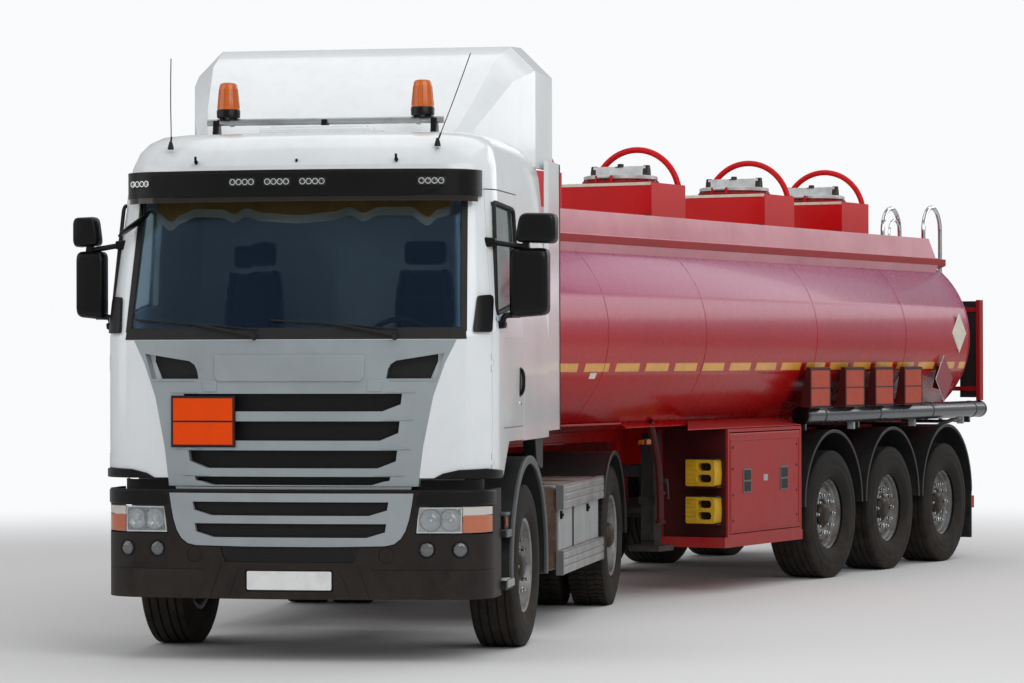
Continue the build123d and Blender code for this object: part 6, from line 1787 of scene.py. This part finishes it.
# The down pipe's dark red is painted shade, since it stands in shadow.
trailer_pair("down_pipes", joined([down_pipe, collars]), SHADED_RED)
post = boxes([(1.168, 1.208, 8.1, 8.19, 1.432, 2.36)] + [(0.82, 1.19, 8.12, 8.16, z, z + 0.04) for z in (1.52, 2.25)]
    + [(0.82, 0.86, 7.88, 8.14, z, z + 0.04) for z in (1.52, 2.25)])
trailer_pair("rear_posts", post, DEEP_RED, 0.004)
# Dark sheets inside the red rear guards are painted shade.
trailer_pair("rear_side_panels", boxes([(1.0, 1.172, 8.13, 8.144, 1.46, 2.35)]), NET_AND_SHADE_BLACK, 0.003)
legs = [boxes([(0.69, 0.83, 1.975, 2.125, 0.7, 0.76), (0.705, 0.815, 1.98, 1.989, 0.42, 1.2)]),
    turned([(0.82, 0.0), (0.82, 0.045), (0.85, 0.045), (0.86, 0.02), (0.9, 0.02), (0.9, 0.0)], (0, 2.05, 0.88),
    steps=20), pipe([(0.89, 2.05, 0.88), (0.905, 2.05, 0.86), (0.905, 2.05, 0.74)], 0.01)]
trailer_pair("leg_gears", joined(legs), CHASSIS_PAINT, 0.004)
rear = boxes([(0.78, 1.19, 7.96, 7.99, 0.455, 0.555)])
trailer_pair("rear_lamp_cases", rear, BLACK_ABS, 0.005)
for name, low, high, material in (("stop", 0.795, 0.985, RED_LENS), ("turn", 0.995, 1.09, AMBER_LENS),
        ("white", 1.1, 1.178, MILK_LENS)):
    trailer_pair(f"rear_{name}_lenses", boxes([(low, high, 7.988, 7.997, 0.468, 0.542)]), material, 0.003)
stripes = joined([outline_plate([(x, 0.452), (x + 0.055, 0.452), (x + 0.105, 0.558), (x + 0.05, 0.558)], 7.9605,
    7.962) for x in [start + 0.12 * number for start in (-0.76, 0.3) for number in range(4)]])
piece("bar_stripes", stripes, "trailer", WHITE_FILM, TRAILER)
piece("rear_plate", boxes([(-0.26, 0.26, 7.962, 7.968, 0.45, 0.562)]), "trailer", WHITE_FILM, TRAILER, bevel=0.001)
print("trailer fittings done")

# %% [markdown]
# The camera stands where the photo was taken from: about 20 m off, at eye height, with a long lens.
# Its place and turns were worked out from points in the photo, so they are numbers and weren't set by eye.

# %% Camera
CAMERA_TURN = 0.17145
CAMERA_TILT = 0.0053
CAMERA_ROLL = -0.0024
CAMERA_PLACE = TRACTOR @ Vector((4.814, -19.94, 1.819))


def camera_matrix(turn, tilt, roll, place):
    """The camera's axes, from its turn about Z, its tilt upwards and its roll."""
    ahead = Vector((-math.sin(turn) * math.cos(tilt), math.cos(turn) * math.cos(tilt), math.sin(tilt)))
    right = Vector((math.cos(turn), math.sin(turn), 0))
    up = right.cross(ahead)
    across = right * math.cos(roll) + up * math.sin(roll)
    upward = up * math.cos(roll) - right * math.sin(roll)
    matrix = Matrix((across, upward, -ahead)).transposed().to_4x4()
    matrix.translation = place
    return matrix


scene = bpy.context.scene
scene.view_settings.view_transform = "Standard"
camera_data = bpy.data.cameras.new("camera")
camera_data.lens = 120.07
camera_data.sensor_width = 36
camera_data.clip_end = 200
scene.camera = linked("camera", camera_data)
scene.camera.matrix_world = camera_matrix(CAMERA_TURN, CAMERA_TILT, CAMERA_ROLL, CAMERA_PLACE)
print("camera with a lens of", camera_data.lens, "mm")

# %% [markdown]
# Four soft lamps and a pale sky give the flat light of an overcast day.
# The camera sees the sky brighter than it lights the model, which keeps the background white and the reds deep.

# %% Light
for name, place, size, power in (
    # name, place, width in metres, power in watts
    ("key", (8, -14, 11), 12, 1050),
    ("fill", (-13, -10, 8), 12, 440),
    ("back", (12, 12, 10), 12, 700),
    ("top", (0, 1, 15), 14, 560),
):
    lamp = bpy.data.lights.new(name, "AREA")
    lamp.size = size
    lamp.energy = power
    stand = linked(name, lamp)
    stand.location = place
    stand.rotation_euler = (Vector((0, 0, 1.5)) - Vector(place)).to_track_quat("-Z", "Y").to_euler()

SKY = (0.95, 0.96, 0.975, 1)
world = bpy.data.worlds.new("studio")
scene.world = world
world.use_nodes = True
background = world.node_tree.nodes["Background"]
rays = world.node_tree.nodes.new("ShaderNodeLightPath")
strength = world.node_tree.nodes.new("ShaderNodeMix")
strength.data_type = "FLOAT"
strength.inputs[2].default_value = 0.46
strength.inputs[3].default_value = 1.0
world.node_tree.links.new(rays.outputs["Is Camera Ray"], strength.inputs[0])
world.node_tree.links.new(strength.outputs[0], background.inputs["Strength"])
background.inputs["Color"].default_value = SKY
print("lamps", len(bpy.data.lights))

# %% [markdown]
# A pale floor catches the shadow. Further out it glows as brightly as the sky, so that no horizon shows.

# %% Floor
floor_mesh = boxes([(-150, 150, -60, 240, -0.02, 0.0)])
floor_material, floor_shader, floor_place = start_material("pale_floor")
fill(floor_material, floor_shader, {"Base Color": (0.72, 0.72, 0.72, 1), "Roughness": 0.9})
away = add_node(floor_material, "VectorMath", links={0: floor_place}, operation="LENGTH")
fade = add_node(floor_material, "MapRange", {"From Min": 7.0, "From Max": 17.0}, {"Value": away.outputs["Value"]},
    interpolation_type="SMOOTHSTEP")
seen = add_node(floor_material, "LightPath").outputs["Is Camera Ray"]
part = add_node(floor_material, "Math", links={0: fade, 1: seen}, operation="MULTIPLY")
glow = add_node(floor_material, "Emission", {"Color": SKY, "Strength": 1.0})
blend = add_node(floor_material, "MixShader", links={0: part, 1: floor_shader, 2: glow})
output = next(node for node in floor_material.node_tree.nodes if node.type == "OUTPUT_MATERIAL")
fill(floor_material, output, links={0: blend})
floor_mesh.materials.append(floor_material)
linked("floor", floor_mesh)
print("floor faces", len(floor_mesh.polygons))

# %% [markdown]
# The last lines bring the scene up to date.

# %% Close
bpy.context.view_layer.update()
